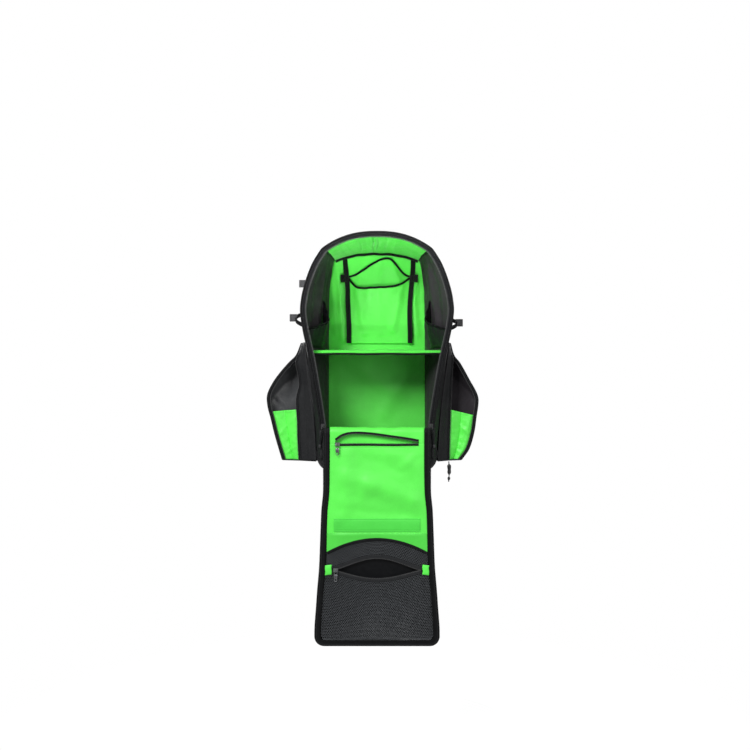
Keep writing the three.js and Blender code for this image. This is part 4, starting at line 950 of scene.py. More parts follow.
def top_shape(u, v, outer):
    share = u - 1
    fade = 4 * clamp(v) * clamp(1 - v)
    creases = 0
    for middle, width, depth in (
        (0.11, 0.02, 0.7),
        (0.3, 0.022, 1.5),
        (0.405, 0.012, 1.7),
        (0.46, 0.016, -1.0),
        (0.498, 0.009, 2.6),
        (0.53, 0.014, -1.1),
        (0.556, 0.01, 2.9),
        (0.62, 0.02, -0.7),
        (0.68, 0.014, 1.5),
        (0.8, 0.016, 1.4),
        (0.88, 0.02, 1.2),
    ):
        creases = creases + depth * hump(share + 0.01 * np.sin(5 * v + 9 * middle), middle, width)
    grain = lumps(outer * np.array((1.0, 0.45, 1.0)), 17.0, 5.0)
    return (0.8 + 0.8 * lumps(outer, 50.0, 1.0)) * fade, 1.7 * creases * fade + (0.8 * grain + 0.5) * fade


def base_shape(u, v, outer):
    fade = clamp(8 * np.minimum(v, 1 - v))
    return (0.4 + 0.5 * lumps(outer, 60.0, 2.0)) * fade, (0.5 + 0.9 * lumps(outer, 40.0, 4.0)) * fade


body_panel("side_panel_right", 0, 1, 100, 62, black_lining, side_shape)
body_panel("side_panel_left", 2, 3, 100, 62, black_lining, side_shape)
body_panel("top_panel", 1, 2, 170, 50, green_nylon, top_shape)
body_panel("base_pan", 3, 4, 90, 28, black_lining, base_shape)


def plate(build, outline, rings, front, back, slots, rim=0.5):
    """A closed plate with curved faces, in rings that shrink to the middle, from an x and z outline."""
    outline = np.asarray(outline, float)
    middle = (outline.min(0) + outline.max(0)) / 2
    shares = np.linspace(0.03, 1, rings) ** 0.8
    flat = middle + (outline[None] - middle) * shares[:, None, None]
    x, z = flat[..., 0], flat[..., 1]
    n = len(outline)
    near, far = vec(x, front(x, z, shares[:, None]), z), vec(x, back(x, z, shares[:, None]), z)
    edge = (near[-1] + far[-1]) / 2
    out = unit(vec(outline[:, 0] - middle[0], 0 * outline[:, 0], outline[:, 1] - middle[1]))
    edge = edge + out * np.abs(near[-1] - far[-1])[:, 1:2] * rim * 0.4
    points = np.concatenate([near.reshape(-1, 3), far.reshape(-1, 3), edge])
    total = rings * n
    faces, slot = [], []
    for r in range(rings - 1):
        for k in range(n):
            k2 = (k + 1) % n
            a, b, c, d = r * n + k, r * n + k2, (r + 1) * n + k2, (r + 1) * n + k
            faces += [(a, b, c, d), (total + d, total + c, total + b, total + a)]
            slot += [slots[0], slots[1]]
    for k in range(n):
        k2 = (k + 1) % n
        a, b = (rings - 1) * n + k, (rings - 1) * n + k2
        faces += [
            (a, b, 2 * total + k2, 2 * total + k), (2 * total + k, 2 * total + k2, total + b, total + a)
        ]
        slot += [slots[1], slots[1]]
    faces += [tuple(range(n - 1, -1, -1)), tuple(total + k for k in range(n))]
    slot += [slots[0], slots[1]]
    uvs = [[(points[i][0], points[i][2]) for i in face] for face in faces]
    return build.add(points, faces, uvs, slot)


def back_front(x, z, share):
    p = vec(x, 0 * x, z)
    tucks = ridges(
        x,
        z,
        (
            (-102, 506, -92, 400, 7, 4.2),
            (-92, 400, -86, 320, 8, 3.4),
            (-112, 440, -104, 330, 6, 2.6),
            (104, 500, 95, 410, 8, 4.2),
            (95, 410, 104, 330, 7, 3.6),
            (112, 480, 114, 400, 6, 2.4),
            (-40, 515, -60, 470, 9, 1.8),
            (60, 515, 84, 440, 9, 2.2),
            (-70, 270, 30, 190, 18, 3.0),
            (80, 240, 20, 130, 16, 2.6),
        ),
    )
    return GAP - 0.3 - (1.2 * lumps(p, 55.0, 2.0) + 1.2 + tucks) * clamp(4 * (1 - share))


def back_rear(x, z, share):
    p = vec(x, 0 * x, z)
    return GAP + BACK_THICKNESS - 0.6 + 0.5 * lumps(p, 60.0, 7.0) + 0 * share


outline_turns = np.linspace(0, 4, 240, endpoint=False)
outline = ring_point(outline_turns, np.zeros(240))[:, [0, 2]]
build = plate(Build(), outline, 26, back_front, back_rear, (0, 1))
build.finish("back_panel", [green_nylon, black_cloth], "green_lining", ["back_panel"])

# Piping round the back and round the base seam, outside
ring = ring_point(outline_turns, np.zeros(240)) + inward_at(outline_turns, np.zeros(240)) * 0.6
ring[:, 1] = -0.6
build = Build()
build.sweep(smoothed(ring, 2, True), (0, 1, 0), round_profile(2.3), closed=True)
build.finish("back_piping", [piping_cloth], "black_webbing")
for side_turn, name in ((1.0, "right"), (2.0, "left")):
    depth = np.linspace(0.03, 0.985, 50)
    turn = np.full(50, side_turn)
    path = ring_point(turn, depth) + inward_at(turn, depth) * (WALL + 0.9)
    up = inward_at(turn, depth)
    side = np.cross(up, (0, 1, 0))
    build = Build().sweep(path, side, tape_profile(8.5, 1.3, 0.5))
    build.finish(f"corner_tape_{name}", [piping_cloth], "black_webbing")
    for shift in (-3.0, 3.0):
        stitch(black_stitches, path + side * shift + up * 0.75, up)


# Fixed lower front
def lower_front(u, v):
    z = 97.0 * v**1.6
    half = body_half(np.maximum(z, BASE_CORNER), 1)
    sunk = np.maximum(0, BASE_CORNER - z)
    corner = BASE_CORNER - np.sqrt(BASE_CORNER**2 - sunk**2)
    bulge = 2.5 * (1 - (2 * u - 1) ** 2) * np.sin(math.pi * v)
    return vec((2 * u - 1) * (half - corner), -(DEPTH + GAP + bulge), z)


u, v = np.meshgrid(np.linspace(0, 1, 141), np.linspace(0, 1, 41))
near = lower_front(u, v)
x = near[..., 0]
seams = sum(hump(np.abs(x), place, 1.3) for place in (88.0, 116.0))
puff = 1.0 * np.sin(math.pi * v) * np.abs(np.sin(math.pi * clamp((np.abs(x) - 88) / 28)))
thick = WALL + 0.3 - 1.5 * seams + puff + 0.6 * lumps(near, 16.0, 3.0) * np.sin(math.pi * v)
build = Build().sheet(near, vec(0 * thick, -thick, 0 * thick))
build.finish("lower_front_panel", [black_cloth], "black_cloth", ["lower_front_panel"])
for place in (84.6, 91.4, 112.6, 119.4):
    for side in (-1, 1):
        z = np.linspace(3, 92, 40)
        share = clamp((z / 97.0) ** (1 / 1.6))
        half = body_half(np.maximum(z, BASE_CORNER), 1)
        u0 = (side * place / half + 1) / 2
        path = lower_front(u0, share) + np.array((0, -WALL - 0.5, 0))
        stitch(black_stitches, path, (0, -1, 0))

# Mouth: piping, zip tape and teeth round the whole opening
first = (HINGE + GAP - BASE_CORNER) / (SHOULDER - BASE_CORNER)
turns = np.linspace(first, 3 - first, 420)
rim = smoothed(resampled(ring_point(turns, np.ones(420)), 420), 5)
tangent = unit(np.gradient(rim, axis=0))
rim_in = vec(-tangent[:, 2], 0 * tangent[:, 0], tangent[:, 0])


def rim_path(inset, forward):
    return rim + rim_in * inset + np.array((0, -(GAP + forward), 0))


build = Build()
build.sweep(rim_path(2.3, 1.9), rim_in, round_profile(2.35, 12))
build.sweep(rim_path(4.6, 0.8), rim_in, tape_profile(6.0, 1.4, 0.3), slot=1)
build.sweep(rim_path(8.7, 1.5), rim_in, tape_profile(8.6, 1.2, 0.15), slot=1)
build.finish(
    "mouth_zip",
    [piping_cloth, tape],
    "black_webbing",
    ["mouth_zip_right", "mouth_zip_top", "mouth_zip_left"],
)
teeth(zip_teeth, rim_path(13.4, 1.6), rim_in, (0, -1, 0), pitch=2.1, start=2, end=2)
for inset in (5.6, 10.4):
    stitch(black_stitches, rim_path(inset, 2.25), (0, -1, 0))

# Taped seam at the back of the arch
half = back_half(SHOULDER) - WALL - 2.4
v = np.linspace(0, 1, 90)
path = vec((2 * v - 1) * (half - 0.8), -5.2 + 0 * v, arch_height(mix(0.035, 0.965, v), 0.02) - WALL - 4.6)
path[:, 2] += 0.7 * np.sin(v * 31) * np.sin(math.pi * v)
tangent = unit(np.gradient(path, axis=0))
side = vec(-tangent[:, 2], 0 * v, tangent[:, 0])
build = Build().sweep(path, side, tape_profile(6.4, 1.5, 0.6))
build.finish("back_seam_tape", [piping_cloth], "black_webbing", ["back_seam_tape"])
for shift in (-2.1, 2.1):
    stitch(black_stitches, path + side * shift + np.array((0, -1.0, 0)), (0, -1, 0))

# Shelf between the compartments
u, v = np.meshgrid(np.linspace(0, 1, 81), np.linspace(0, 1, 51))
share = mix(0.01, SHELF_REACH - 0.022, v)
half = body_half(shelf_at(share), share) - WALL - 2.6
top = vec((2 * u - 1) * half, -DEPTH * share, shelf_at(share))
crown = 1.6 * np.sin(math.pi * u) ** 0.5 * np.sin(math.pi * clamp(v, 0, 1)) ** 0.5
dents = 0.8 * lumps(top, 30.0, 6.0) + 0.5 * lumps(top, 12.0, 1.0)
top[..., 2] += (crown + dents) * clamp(10 * (1 - v)) * clamp(10 * v) - 0.6
sag = SHELF_THICKNESS - 1.0 + crown * 0.7 + 0.5 * lumps(top, 26.0, 9.0)
build = Build().sheet(top, vec(0 * sag, 0 * sag, -sag))
build.finish("shelf", [green_nylon], "green_lining", ["shelf"])
x = np.linspace(-1, 1, 90) * (body_half(shelf_at(SHELF_REACH), SHELF_REACH) - WALL - 2.6)
base = shelf_at(SHELF_REACH) - SHELF_THICKNESS
path = vec(x, -(DEPTH * SHELF_REACH + 1.6) + 0 * x, base + 2.0 + 0.5 * np.sin(x / 17.0))
build = Build().sweep(path, (0, 0, 1), round_profile(2.1, 10, 0.85))
build.finish("shelf_binding", [piping_cloth], "black_webbing", ["shelf_binding"])
stitch(green_stitches, path + np.array((0, -0.3, 3.6)), (0, -1, 0.2), radius=0.36)


# Organiser on the inside of the back
def organiser_x(u):
    return ORGANISER_SHIFT + (u - 0.5) * ORGANISER_WIDTH


def rear_mouth(u):
    return 170 + 46 * lookup(ORGANISER, "rise", u)


def front_mouth(u):
    return 166 - 26 * lookup(ORGANISER, "sag", u)


def organiser_pocket(name, mouth, bow, base, folds):
    def depth_at(u, share):
        return base + bow * np.sin(math.pi * clamp(u)) * clamp(share) ** 1.5

    u, v = np.meshgrid(np.linspace(0, 1, 101), np.linspace(0, 1, 81))
    near = vec(organiser_x(u), -depth_at(u, v), ORGANISER_FOOT + mouth(u) * v)
    edge = clamp(9 * np.minimum(u, 1 - u)) * clamp(6 * v) * clamp(8 * (1 - v) + 0.35)
    out = (
        ridges(near[..., 0], near[..., 2], folds) + 0.9 * lumps(near, 30.0, bow)
        + 0.35 * lumps(near, 11.0, 2.0)
    )
    near[..., 1] -= np.maximum(out, -0.4) * edge
    build = Build().sheet(near, np.array((0, -1.3, 0)))
    build.finish(name, [green_nylon], "green_lining", [name])
    v = np.linspace(0, 1, 90)
    path = vec(
        organiser_x(v), -(depth_at(v, 1) + 1.9), ORGANISER_FOOT + mouth(v) - 2.0 + 0.3 * np.sin(v * 40)
    )
    tangent = unit(np.gradient(path, axis=0))
    side = unit(np.cross((0, 1, 0), tangent))
    build = Build().sweep(path, side, tape_profile(5.4, 2.5, 0.4))
    build.finish(f"{name}_binding", [piping_cloth], "black_webbing", [f"{name}_binding"])
    stitch(
        black_stitches,
        path + side * -1.2 + np.array((0, -1.75, 0)),
        (0, -1, 0),
        length=2.2,
        pitch=3.2,
        radius=0.34,
    )


organiser_pocket(
    "organiser_rear_pocket",
    rear_mouth,
    5.0,
    1.0,
    (
        (-50, 480, -20, 400, 9, 1.6),
        (40, 500, 70, 420, 8, 1.8),
        (20, 510, 5, 430, 7, 1.2),
        (60, 470, 30, 380, 9, 1.2),
    ),
)
organiser_pocket(
    "organiser_front_pocket",
    front_mouth,
    17.0,
    4.9,
    (
        (-56, 460, -30, 330, 9, 2.0),
        (0, 440, 8, 330, 12, 1.6),
        (66, 455, 40, 340, 9, 2.0),
        (-20, 440, -44, 350, 8, 1.3),
    ),
)


def organiser_strap(side):
    x = ORGANISER_SHIFT + side * ORGANISER_WIDTH / 2
    lying = 2 * 1.9 + 3.2 + 3.6
    foot, lean = ORGANISER_FOOT, 9.0
    path = curve_through(
        (
            (x + lean * side, -2.6, foot + 212),
            (x + 0.8 * lean * side, -lying, foot + 184),
            (x + 0.4 * lean * side, -lying, foot + 146),
            (x, -lying, foot + 70),
            (x, -lying, foot),
        ),
        70,
    )
    path[:, 0] += 0.8 * np.sin(path[:, 2] / 23.0)
    build = Build().sweep(path, (1, 0, 0), tape_profile(12.0, 1.6, 0.3))
    tab_x = x + side * (6 + 4.75)
    z = foot + 166 - 9.5 + 6
    tab = vec(
        tab_x + np.linspace(-9.5, 9.5, 12),
        np.full(12, -lying - 0.3),
        z + 0.3 * np.sin(np.linspace(0, 3, 12)),
    )
    build.sweep(tab, (0, 0, 1), tape_profile(19.0, 1.5, 0.3))
    name = f"organiser_strap_{'left' if side < 0 else 'right'}"
    build.finish(name, [webbing], "black_webbing", [name])
    for shift in (-4.4, 4.4):
        stitch(black_stitches, path + np.array((shift, -1.05, 0)), (0, -1, 0), start=2, end=2)
    box = np.array([(-7, 0, -7), (7, 0, -7), (7, 0, 7), (-7, 0, 7), (-7, 0, -7), (7, 0, 7)], float)
    stitch(black_stitches, resampled(box, 60) + np.array((tab_x, -lying - 1.4, z)), (0, -1, 0), pitch=3.4)


organiser_strap(-1)
organiser_strap(1)


# Pockets on the inside of the side walls
def wall_pocket(side):
    word = "left" if side < 0 else "right"
    foot = SHELF_HEIGHT + 2

    def point(u, v):
        share = mix(0.44, 0.9, u)
        z = foot + 116 * lookup(WALL_POCKET, "top", u) * v
        bow = 22 * lookup(WALL_POCKET, "bow", u) * np.sqrt(clamp(v))
        return vec(side * (body_half(z, share) - 6 - bow), -DEPTH * share, z)

    u, v = np.meshgrid(np.linspace(0, 1, 71), np.linspace(0, 1, 41))
    near = point(u, v)
    gather = 0.9 * np.sin(u * 46) * clamp(v) ** 3 + 1.3 * lumps(near, 18.0, side)
    near[..., 0] -= side * gather * clamp(8 * np.minimum(u, 1 - u))
    build = Build().sheet(near, np.array((-side * 1.4, 0, 0)))
    build.finish(f"wall_pocket_{word}", [black_cloth], "black_cloth", [f"wall_pocket_{word}"])
    u = np.linspace(0.005, 0.995, 80)
    path = point(u, np.ones(80)) + np.array((-side * 0.9, 0, -1.5))
    path[:, 0] -= side * 0.9 * np.sin(u * 46) * clamp(8 * np.minimum(u, 1 - u))
    build = Build().sweep(path, (0, 0, 1), tape_profile(6.5, 3.0, 0.4))
    build.finish(f"wall_pocket_binding_{word}", [piping_cloth], "black_webbing")


wall_pocket(-1)
wall_pocket(1)


# Front panel, hanging: its outline as a line of places across and down
drops = np.linspace(-10.8, FLAP_LENGTH - FLAP_CORNER, 130)
corner = np.linspace(0, math.pi / 2, 22)[1:]
turn_x = FLAP_WIDTH / 2 - FLAP_CORNER + FLAP_CORNER * np.cos(corner)
turn_drop = FLAP_LENGTH - FLAP_CORNER + FLAP_CORNER * np.sin(corner)
half_x = np.concatenate([flap_half(drops), turn_x])
half_drop = np.concatenate([drops, turn_drop])
sway = 0.8 * np.sin(half_drop / 37.0) * clamp((half_drop - 30) / 60) * clamp(
    (FLAP_LENGTH - 40 - half_drop) / 40
)
rim_x = np.concatenate([half_x + sway, -(half_x + sway)[::-1]])
rim_drop = np.concatenate([half_drop, half_drop[::-1]])
flap_rim = resampled(vec(rim_x, rim_drop, 0 * rim_x), 420)[:, :2]
flap_tangent = unit(np.gradient(flap_rim, axis=0))
flap_in = np.stack([-flap_tangent[:, 1], flap_tangent[:, 0]], -1)


def flap_path(inset, lift):
    """A line that follows the panel's outline at an inset, and its direction towards the middle."""
    flat = flap_rim + flap_in * inset
    path = flap_point(flat[:, 0], flat[:, 1], lift)
    step = flat + flap_in
    return path, unit(flap_point(step[:, 0], step[:, 1], lift) - path)


def flap_up(path, side):
    up = np.cross(side, unit(np.gradient(path, axis=0)))
    return up * np.sign((up * np.array((0, -1.0, 0.3))).sum(-1, keepdims=True))


build = Build()
path, side = flap_path(7.6, -4.6)
core = np.array(
    [(-5.6, 3.6), (0, 4.3), (5.2, 3.6), (6.2, 0), (5.4, -4), (0, -4.2), (-5.6, -3.8), (-6.6, 0)]
)
build.sweep(path, side, core)
path, side = flap_path(2.3, -0.9)
build.sweep(path, side, round_profile(2.25, 12, 0.95), slot=1)
path, side = flap_path(6.6, 0.1)
build.sweep(path, side, tape_profile(7.6, 1.3, 0.3), slot=2)
path, side = flap_path(11.4, 0.5)
build.sweep(path, side, tape_profile(5.2, 1.9, 0.5), slot=1)
build.finish(
    "flap_border",
    [black_cloth, piping_cloth, tape],
    "black_webbing",
    ["flap_edge_right", "flap_edge_left", "flap_edge_lower"],
)
path, side = flap_path(0.9, -4.9)
teeth(zip_teeth, path, side, flap_up(path, side), pitch=2.1, start=14, end=14)
for inset, lift in ((10.2, 1.55), (12.7, 1.5), (4.4, 1.1)):
    path, side = flap_path(inset, lift)
    stitch(black_stitches, path, flap_up(path, side))


def flap_grid(half_at, top_at, end_at, across, down):
    u, v = np.meshgrid(np.linspace(0, 1, across + 1), np.linspace(0, 1, down + 1))
    drop = mix(top_at(u), end_at(u), v)
    return u, v, (2 * u - 1) * half_at(drop), drop


def flap_cloth(build, x, drop, lift, thickness, slots=(0, 0, 0), rim=0.9):
    """A sheet in the front panel from its front face back."""
    front = flap_point(x, drop, lift)
    rear = flap_point(x, drop, lift - thickness)
    uv = np.stack([x, drop], -1)
    return build.sheet(front, rear - front, uv, slots, rim)


# Shell of the front panel: padded cloth, green inside down to the net and black below it
u, v, x, drop = flap_grid(
    lambda d: flap_half(np.minimum(d, FLAP_LENGTH - 0.4)) - 1.2,
    lambda u: 1 + 0 * u,
    lambda u: FLAP_LENGTH - 0.5 + 0 * u,
    90,
    150,
)
p = flap_point(x, drop, -9.0)
edge = clamp(6 * np.minimum(u, 1 - u)) * clamp(10 * np.minimum(v, 1 - v))
front_lift = -9.0 - 0.4 * edge
seam = hump(drop, 150, 1.6) + hump(np.abs(x), 92, 1.6) * clamp((drop - 150) / 10) + hump(drop, 420, 1.6)
back_puff = (1.6 + 1.5 * lumps(p, 70.0, 3.0)) * edge - 1.5 * seam * edge
build = Build()
near, far = flap_point(x, drop, front_lift), flap_point(x, drop, -11.8 - back_puff)
behind_lining = np.where(drop[:-1, :-1] < 62, 2, 1).ravel()
build.sheet(near, far - near, np.stack([x, drop], -1), (behind_lining, 0, 0))
front_panel = build.finish(
    "flap_shell", [black_cloth, black_backing, green_nylon], "black_cloth", ["flap_shell"]
)
float(np.ptp(drop)) / 1000
for shift in (-2.6, 2.6):
    for row in (150, 420):
        line = np.linspace(-112, 112, 80)
        puff = np.interp(np.abs(line), (0, 100, 112), (1.6, 1.0, 0.4))
        path = flap_point(line, np.full(80, row + shift), -12.1 - puff)
        stitch(black_stitches, path, (0, 1, 0))

# Upper lining: it comes down inside the lower front, rolls over its edge and ends at the zipped pocket
side_x = float(inside_edge(np.array(LINING_ZIP_DROP)))
columns = np.concatenate(
    [
        [-side_x, -0.5 * (side_x + 95.6), -95.6],
        np.linspace(-95, 95, 77),
        [95.6, 0.5 * (side_x + 95.6), side_x],
    ]
)
v = np.linspace(0, 1, 46)[:, None]
rolled, flat = clamp(v * 7 / 5), clamp((v - 5 / 7) * 7 / 2)
end = LINING_ZIP_DROP - GAP - gape_at(columns)[None, :]
drop = -math.pi * FLAP_FOLD_RADIUS * (1 - rolled) + end * flat
x = np.broadcast_to(columns[None, :], drop.shape)
p = flap_point(x, drop, 0)
waves = (
    0.9 * lumps(p * np.array((1, 0.6, 0.6)), 26.0, 4.0)
    + 0.7 * np.sin(x / 8.5 + 1.1 * np.sin(x / 31.0)) * hump(drop, -8, 16)
)
build = flap_cloth(Build(), x, drop, waves * clamp(6 * (1 - v)) - 0.1, 1.4)
build.finish("flap_lining_upper", [green_nylon], "green_lining", ["flap_lining_upper"])

# Lower lining, with the broad creases of a panel that has been folded shut
u, v, x, drop = flap_grid(
    inside_edge, lambda u: LINING_ZIP_DROP + 0 * u, lambda u: net_top(u) - GAP, 104, 112
)
LINING_CREASES = (
    (-76, 102, -16, 118, 21, 3.6),
    (-16, 118, 94, 155, 23, 4.6),
    (94, 155, 122, 172, 17, 3.0),
    (-66, 44, -68, 176, 15, 2.8),
    (57, 78, 96, 44, 10, 2.0),
    (30, 44, 104, 88, 15, 1.9),
    (108, 40, 96, 120, 12, 1.6),
    (-104, 130, -92, 200, 13, 1.8),
    (-90, 176, 90, 190, 12, -1.8),
    (-20, 60, 50, 84, 14, -1.3),
    (-6, 150, 58, 176, 15, -1.4),
)


def lining_lift(x, drop):
    """How far the lower lining stands to the front: creases, a sewn line and the slack below the band."""
    share = (drop - LINING_ZIP_DROP) / (net_top(0.5 + x / 260) - GAP - LINING_ZIP_DROP)
    u = (x / inside_edge(drop) + 1) / 2
    near_edge = clamp(7 * np.minimum(u, 1 - u))
    slack = 2.6 * clamp((drop - 228.5) / 5) * clamp((272 - drop) / 40)
    p = flap_point(x, drop, 0)
    lift = (
        ridges(x, drop, LINING_CREASES) + 0.9 * lumps(p, 48.0, 2.0) + 0.35 * lumps(p, 17.0, 5.0) + 0.6
        + slack
    )
    lift = lift * near_edge * clamp(9 * share) * clamp(9 * (1 - share))
    return lift - (0.7 * hump(drop, 35, 1.3) + 0.9 * hump(drop, 227.6, 1.2)) * near_edge


# Rows below the band take the darker green copy, which is painted shade.
painted_shade_below_band = np.where(drop[:-1, :-1] < 228.5, 0, 1).ravel()
build = flap_cloth(Build(), x, drop, lining_lift(x, drop), 1.3, (painted_shade_below_band, 0, 0))
build.finish("flap_lining_lower", [green_nylon, painted_shade_green], "green_lining", ["flap_lining_lower"])


def lining_row(drop_at, half, normal=(0, -1, 0), above=0.1):
    line = np.linspace(-half, half, 150)
    row = drop_at + 0 * line
    stitch(green_stitches, flap_point(line, row, lining_lift(line, row) + above), normal, radius=0.34)


lining_row(37.4, 112)
lining_row(230.5, 117)

# Sewn band across the lining
u, v = np.meshgrid(np.linspace(0, 1, 101), np.linspace(0, 1, 25))
x = (2 * u - 1) * BAND_HALF
drop = BAND_DROP + BAND_HEIGHT * v
swell = 1.3 + 0.5 * np.sin(math.pi * v) + 0.5 * lumps(vec(x, 0 * x, drop), 24.0, 3.0) * np.sin(math.pi * v)
groove = 0.7 * (hump(v, 0.1, 0.03) + hump(v, 0.9, 0.03))
build = flap_cloth(Build(), x, drop, lining_lift(x, drop) + swell - groove, 1.0)
build.finish("lining_band", [green_band], "green_lining", ["lining_band"])
for row in (BAND_DROP + 3, BAND_DROP + BAND_HEIGHT - 3):
    lining_row(row, BAND_HALF - 3, above=0.9)

# Zipped pocket in the lining
line = np.linspace(-94.6, 94.6, 130)
upper_drop = LINING_ZIP_DROP - gape_at(line * 0.999) - 2.2
upper = flap_point(line, upper_drop, 1.1)
lower = flap_point(line, np.full(130, LINING_ZIP_DROP + 2.4) + 0.4 * np.sin(line / 21.0), 1.1)
for path, name, edge_side in ((upper, "lining_zip_upper", -1), (lower, "lining_zip_lower", 1)):
    tangent = unit(np.gradient(path, axis=0))
    up = np.array((0.0, -1.0, 0.0))
    side = unit(np.cross(tangent, up))
    side = side * np.sign(side[:, 2:3])
    build = Build().sweep(path, side, tape_profile(4.8, 1.2, 0.2))
    build.finish(name, [tape], "black_webbing", [name])
    teeth(
        zip_teeth,
        path + side * 2.5 * edge_side + up * 0.1,
        side,
        up,
        pitch=1.7,
        width=1.0,
        reach=2.4,
        thickness=1.5,
    )
    stitch(black_stitches, path - side * 1.2 * edge_side + up * 0.75, up, length=2.2, pitch=3.2, radius=0.3)

# Net pocket: hexagonal cells of real threads over the dark shell
NET_PITCH = 4.2


def net_cloth(name, half_at, top_at, end_at, lift_at, width, height, node):
    """Cloth of six-sided cells, from a lattice that is laid over the pocket and turned into threads."""
    across, down = int(width / NET_PITCH), int(height / (NET_PITCH * 0.82))
    points, index, faces = [], {}, []

    def corner(i, j):
        key = (i, j)
        if key not in index:
            index[key] = len(points)
            points.append((clamp(i / (2.0 * across)), clamp(j / (3.0 * down + 1.0))))
        return index[key]

    for row in range(down):
        for column in range(across):
            i, j = 2 * column + (row % 2), 3 * row
            if i + 2 <= 2 * across:
                faces.append(
                    [
                        corner(a, b)
                        for a, b in (
                            (i, j + 1), (i + 1, j), (i + 2, j + 1),
                            (i + 2, j + 3), (i + 1, j + 4), (i, j + 3),
                        )
                    ]
                )
    share = np.array(points)
    u, v = share[:, 0], share[:, 1]
    drop = mix(top_at(u), end_at(u), v)
    x = (2 * u - 1) * half_at(drop)
    mesh = bpy.data.meshes.new(name)
    mesh.from_pydata(to_world(flap_point(x, drop, lift_at(u, v))).tolist(), [], faces)
    flat = np.stack([x, drop], -1)
    layer = mesh.uv_layers.new(name="cloth")
    layer.data.foreach_set("uv", (flat[np.concatenate(faces)] / 1000.0).astype(np.float32).ravel())
    mesh.materials.append(net_cord)
    piece = bpy.data.objects.new(name, mesh)
    bpy.context.scene.collection.objects.link(piece)
    threads = piece.modifiers.new("threads", "WIREFRAME")
    threads.thickness = 0.0008
    threads.use_even_offset = False
    threads.use_boundary = True
    threads.use_replace = True
    return declare(piece, node)


def net_share(u):
    return clamp(
        ((2 * u - 1) * inside_edge(np.array(NET_MOUTH_DROP)) + NET_MOUTH_HALF) / (2 * NET_MOUTH_HALF)
    )


def net_belly(u, v):
    top = net_mouth_lift(net_share(u))
    belly = NET_BULGE * np.sin(math.pi * clamp(v)) ** 0.7 * np.sin(math.pi * clamp(u)) ** 0.6
    slack = 1.1 * np.sin(u * 17 + 2 * v) * np.sin(math.pi * v) * np.sin(math.pi * u)
    return mix(top, 0, clamp(v)) + belly * 0.7 + slack - 0.7


net_cloth(
    "net_upper",
    inside_edge,
    lambda u: net_top(u) + 0.5,
    lambda u: net_mouth_upper(net_share(u)) - NET_TAPE + 1.0,
    lambda u, v: -0.7 + 1.2 * np.sin(math.pi * v) * np.sin(math.pi * u),
    254,
    38,
    ["net_upper"],
)
net_cloth(
    "net_pocket",
    inside_edge,
    lambda u: net_mouth_lower(net_share(u)) + NET_TAPE - 0.5,
    lambda u: FLAP_END + 0 * u,
    net_belly,
    256,
    150,
    ["net_pocket"],
)

# Binding where the net is sewn to the lining, and the net pocket's zip
u = np.linspace(0.004, 0.996, 120)
drop = net_top(u) + 1.2
path = flap_point((2 * u - 1) * inside_edge(drop), drop, 0.7)
tangent = unit(np.gradient(path, axis=0))
side = unit(np.cross(tangent, (0, -1, 0)))
build = Build().sweep(path, side, tape_profile(6.0, 1.6, 0.5))
build.finish("net_binding", [piping_cloth], "black_webbing")
stitch(black_stitches, path + np.array((0, -1.2, 0)), (0, -1, 0))
line = np.linspace(0, 1, 130)
x = (2 * line - 1) * NET_MOUTH_HALF
for name, drop, lift, edge_side in (
    ("net_zip_upper", net_mouth_upper(line) - NET_TAPE / 2, 1.0 + 0 * line, -1),
    ("net_zip_lower", net_mouth_lower(line) + NET_TAPE / 2 + 0.8, net_mouth_lift(line) + 1.0, 1),
):
    path = flap_point(x, drop, lift)
    tangent = unit(np.gradient(path, axis=0))
    up = np.array((0.0, -1.0, 0.0))
    side = unit(np.cross(tangent, up))
    side = side * np.sign(side[:, 2:3])
    build = Build().sweep(path, side, tape_profile(7.6, 1.2, 0.3))
    build.finish(name, [grey_tape], "black_webbing", [name])
    teeth(
        zip_teeth, path + side * 3.9 * edge_side, side, up, pitch=1.9, width=1.1, reach=2.8, thickness=1.6
    )
    for shift in (-2.4, 0.6):
        stitch(black_stitches, path + side * shift * edge_side + up * 0.85, up)
for side in (-1, 1):
    word = "left" if side < 0 else "right"
    u, v = np.meshgrid(np.linspace(-1, 1, 21), np.linspace(-1, 1, 31))
    x = side * (NET_MOUTH_HALF + 8.9) + u * 6.8 + 0.4 * np.sin(4 * v)
    drop = NET_MOUTH_DROP + v * 10.6 + 0.8 * u * side
    pillow = 1.2 * (1 - u**4) * (1 - v**4) + 0.4 * lumps(vec(x, 0 * x, drop), 6.0, side)
    build = flap_cloth(Build(), x, drop, 3.0 + pillow, 1.7 + pillow)
    build.finish(f"net_zip_tab_{word}", [green_nylon], "green_lining", [f"net_zip_tab_{word}"])
    for row in (-8.6, 8.6):
        path = flap_point(
            np.linspace(-5.4, 5.4, 12) + side * (NET_MOUTH_HALF + 8.9),
            np.full(12, NET_MOUTH_DROP + row),
            3.7,
        )
        stitch(green_stitches, path, (0, -1, 0), length=2.0, pitch=2.9, radius=0.3)


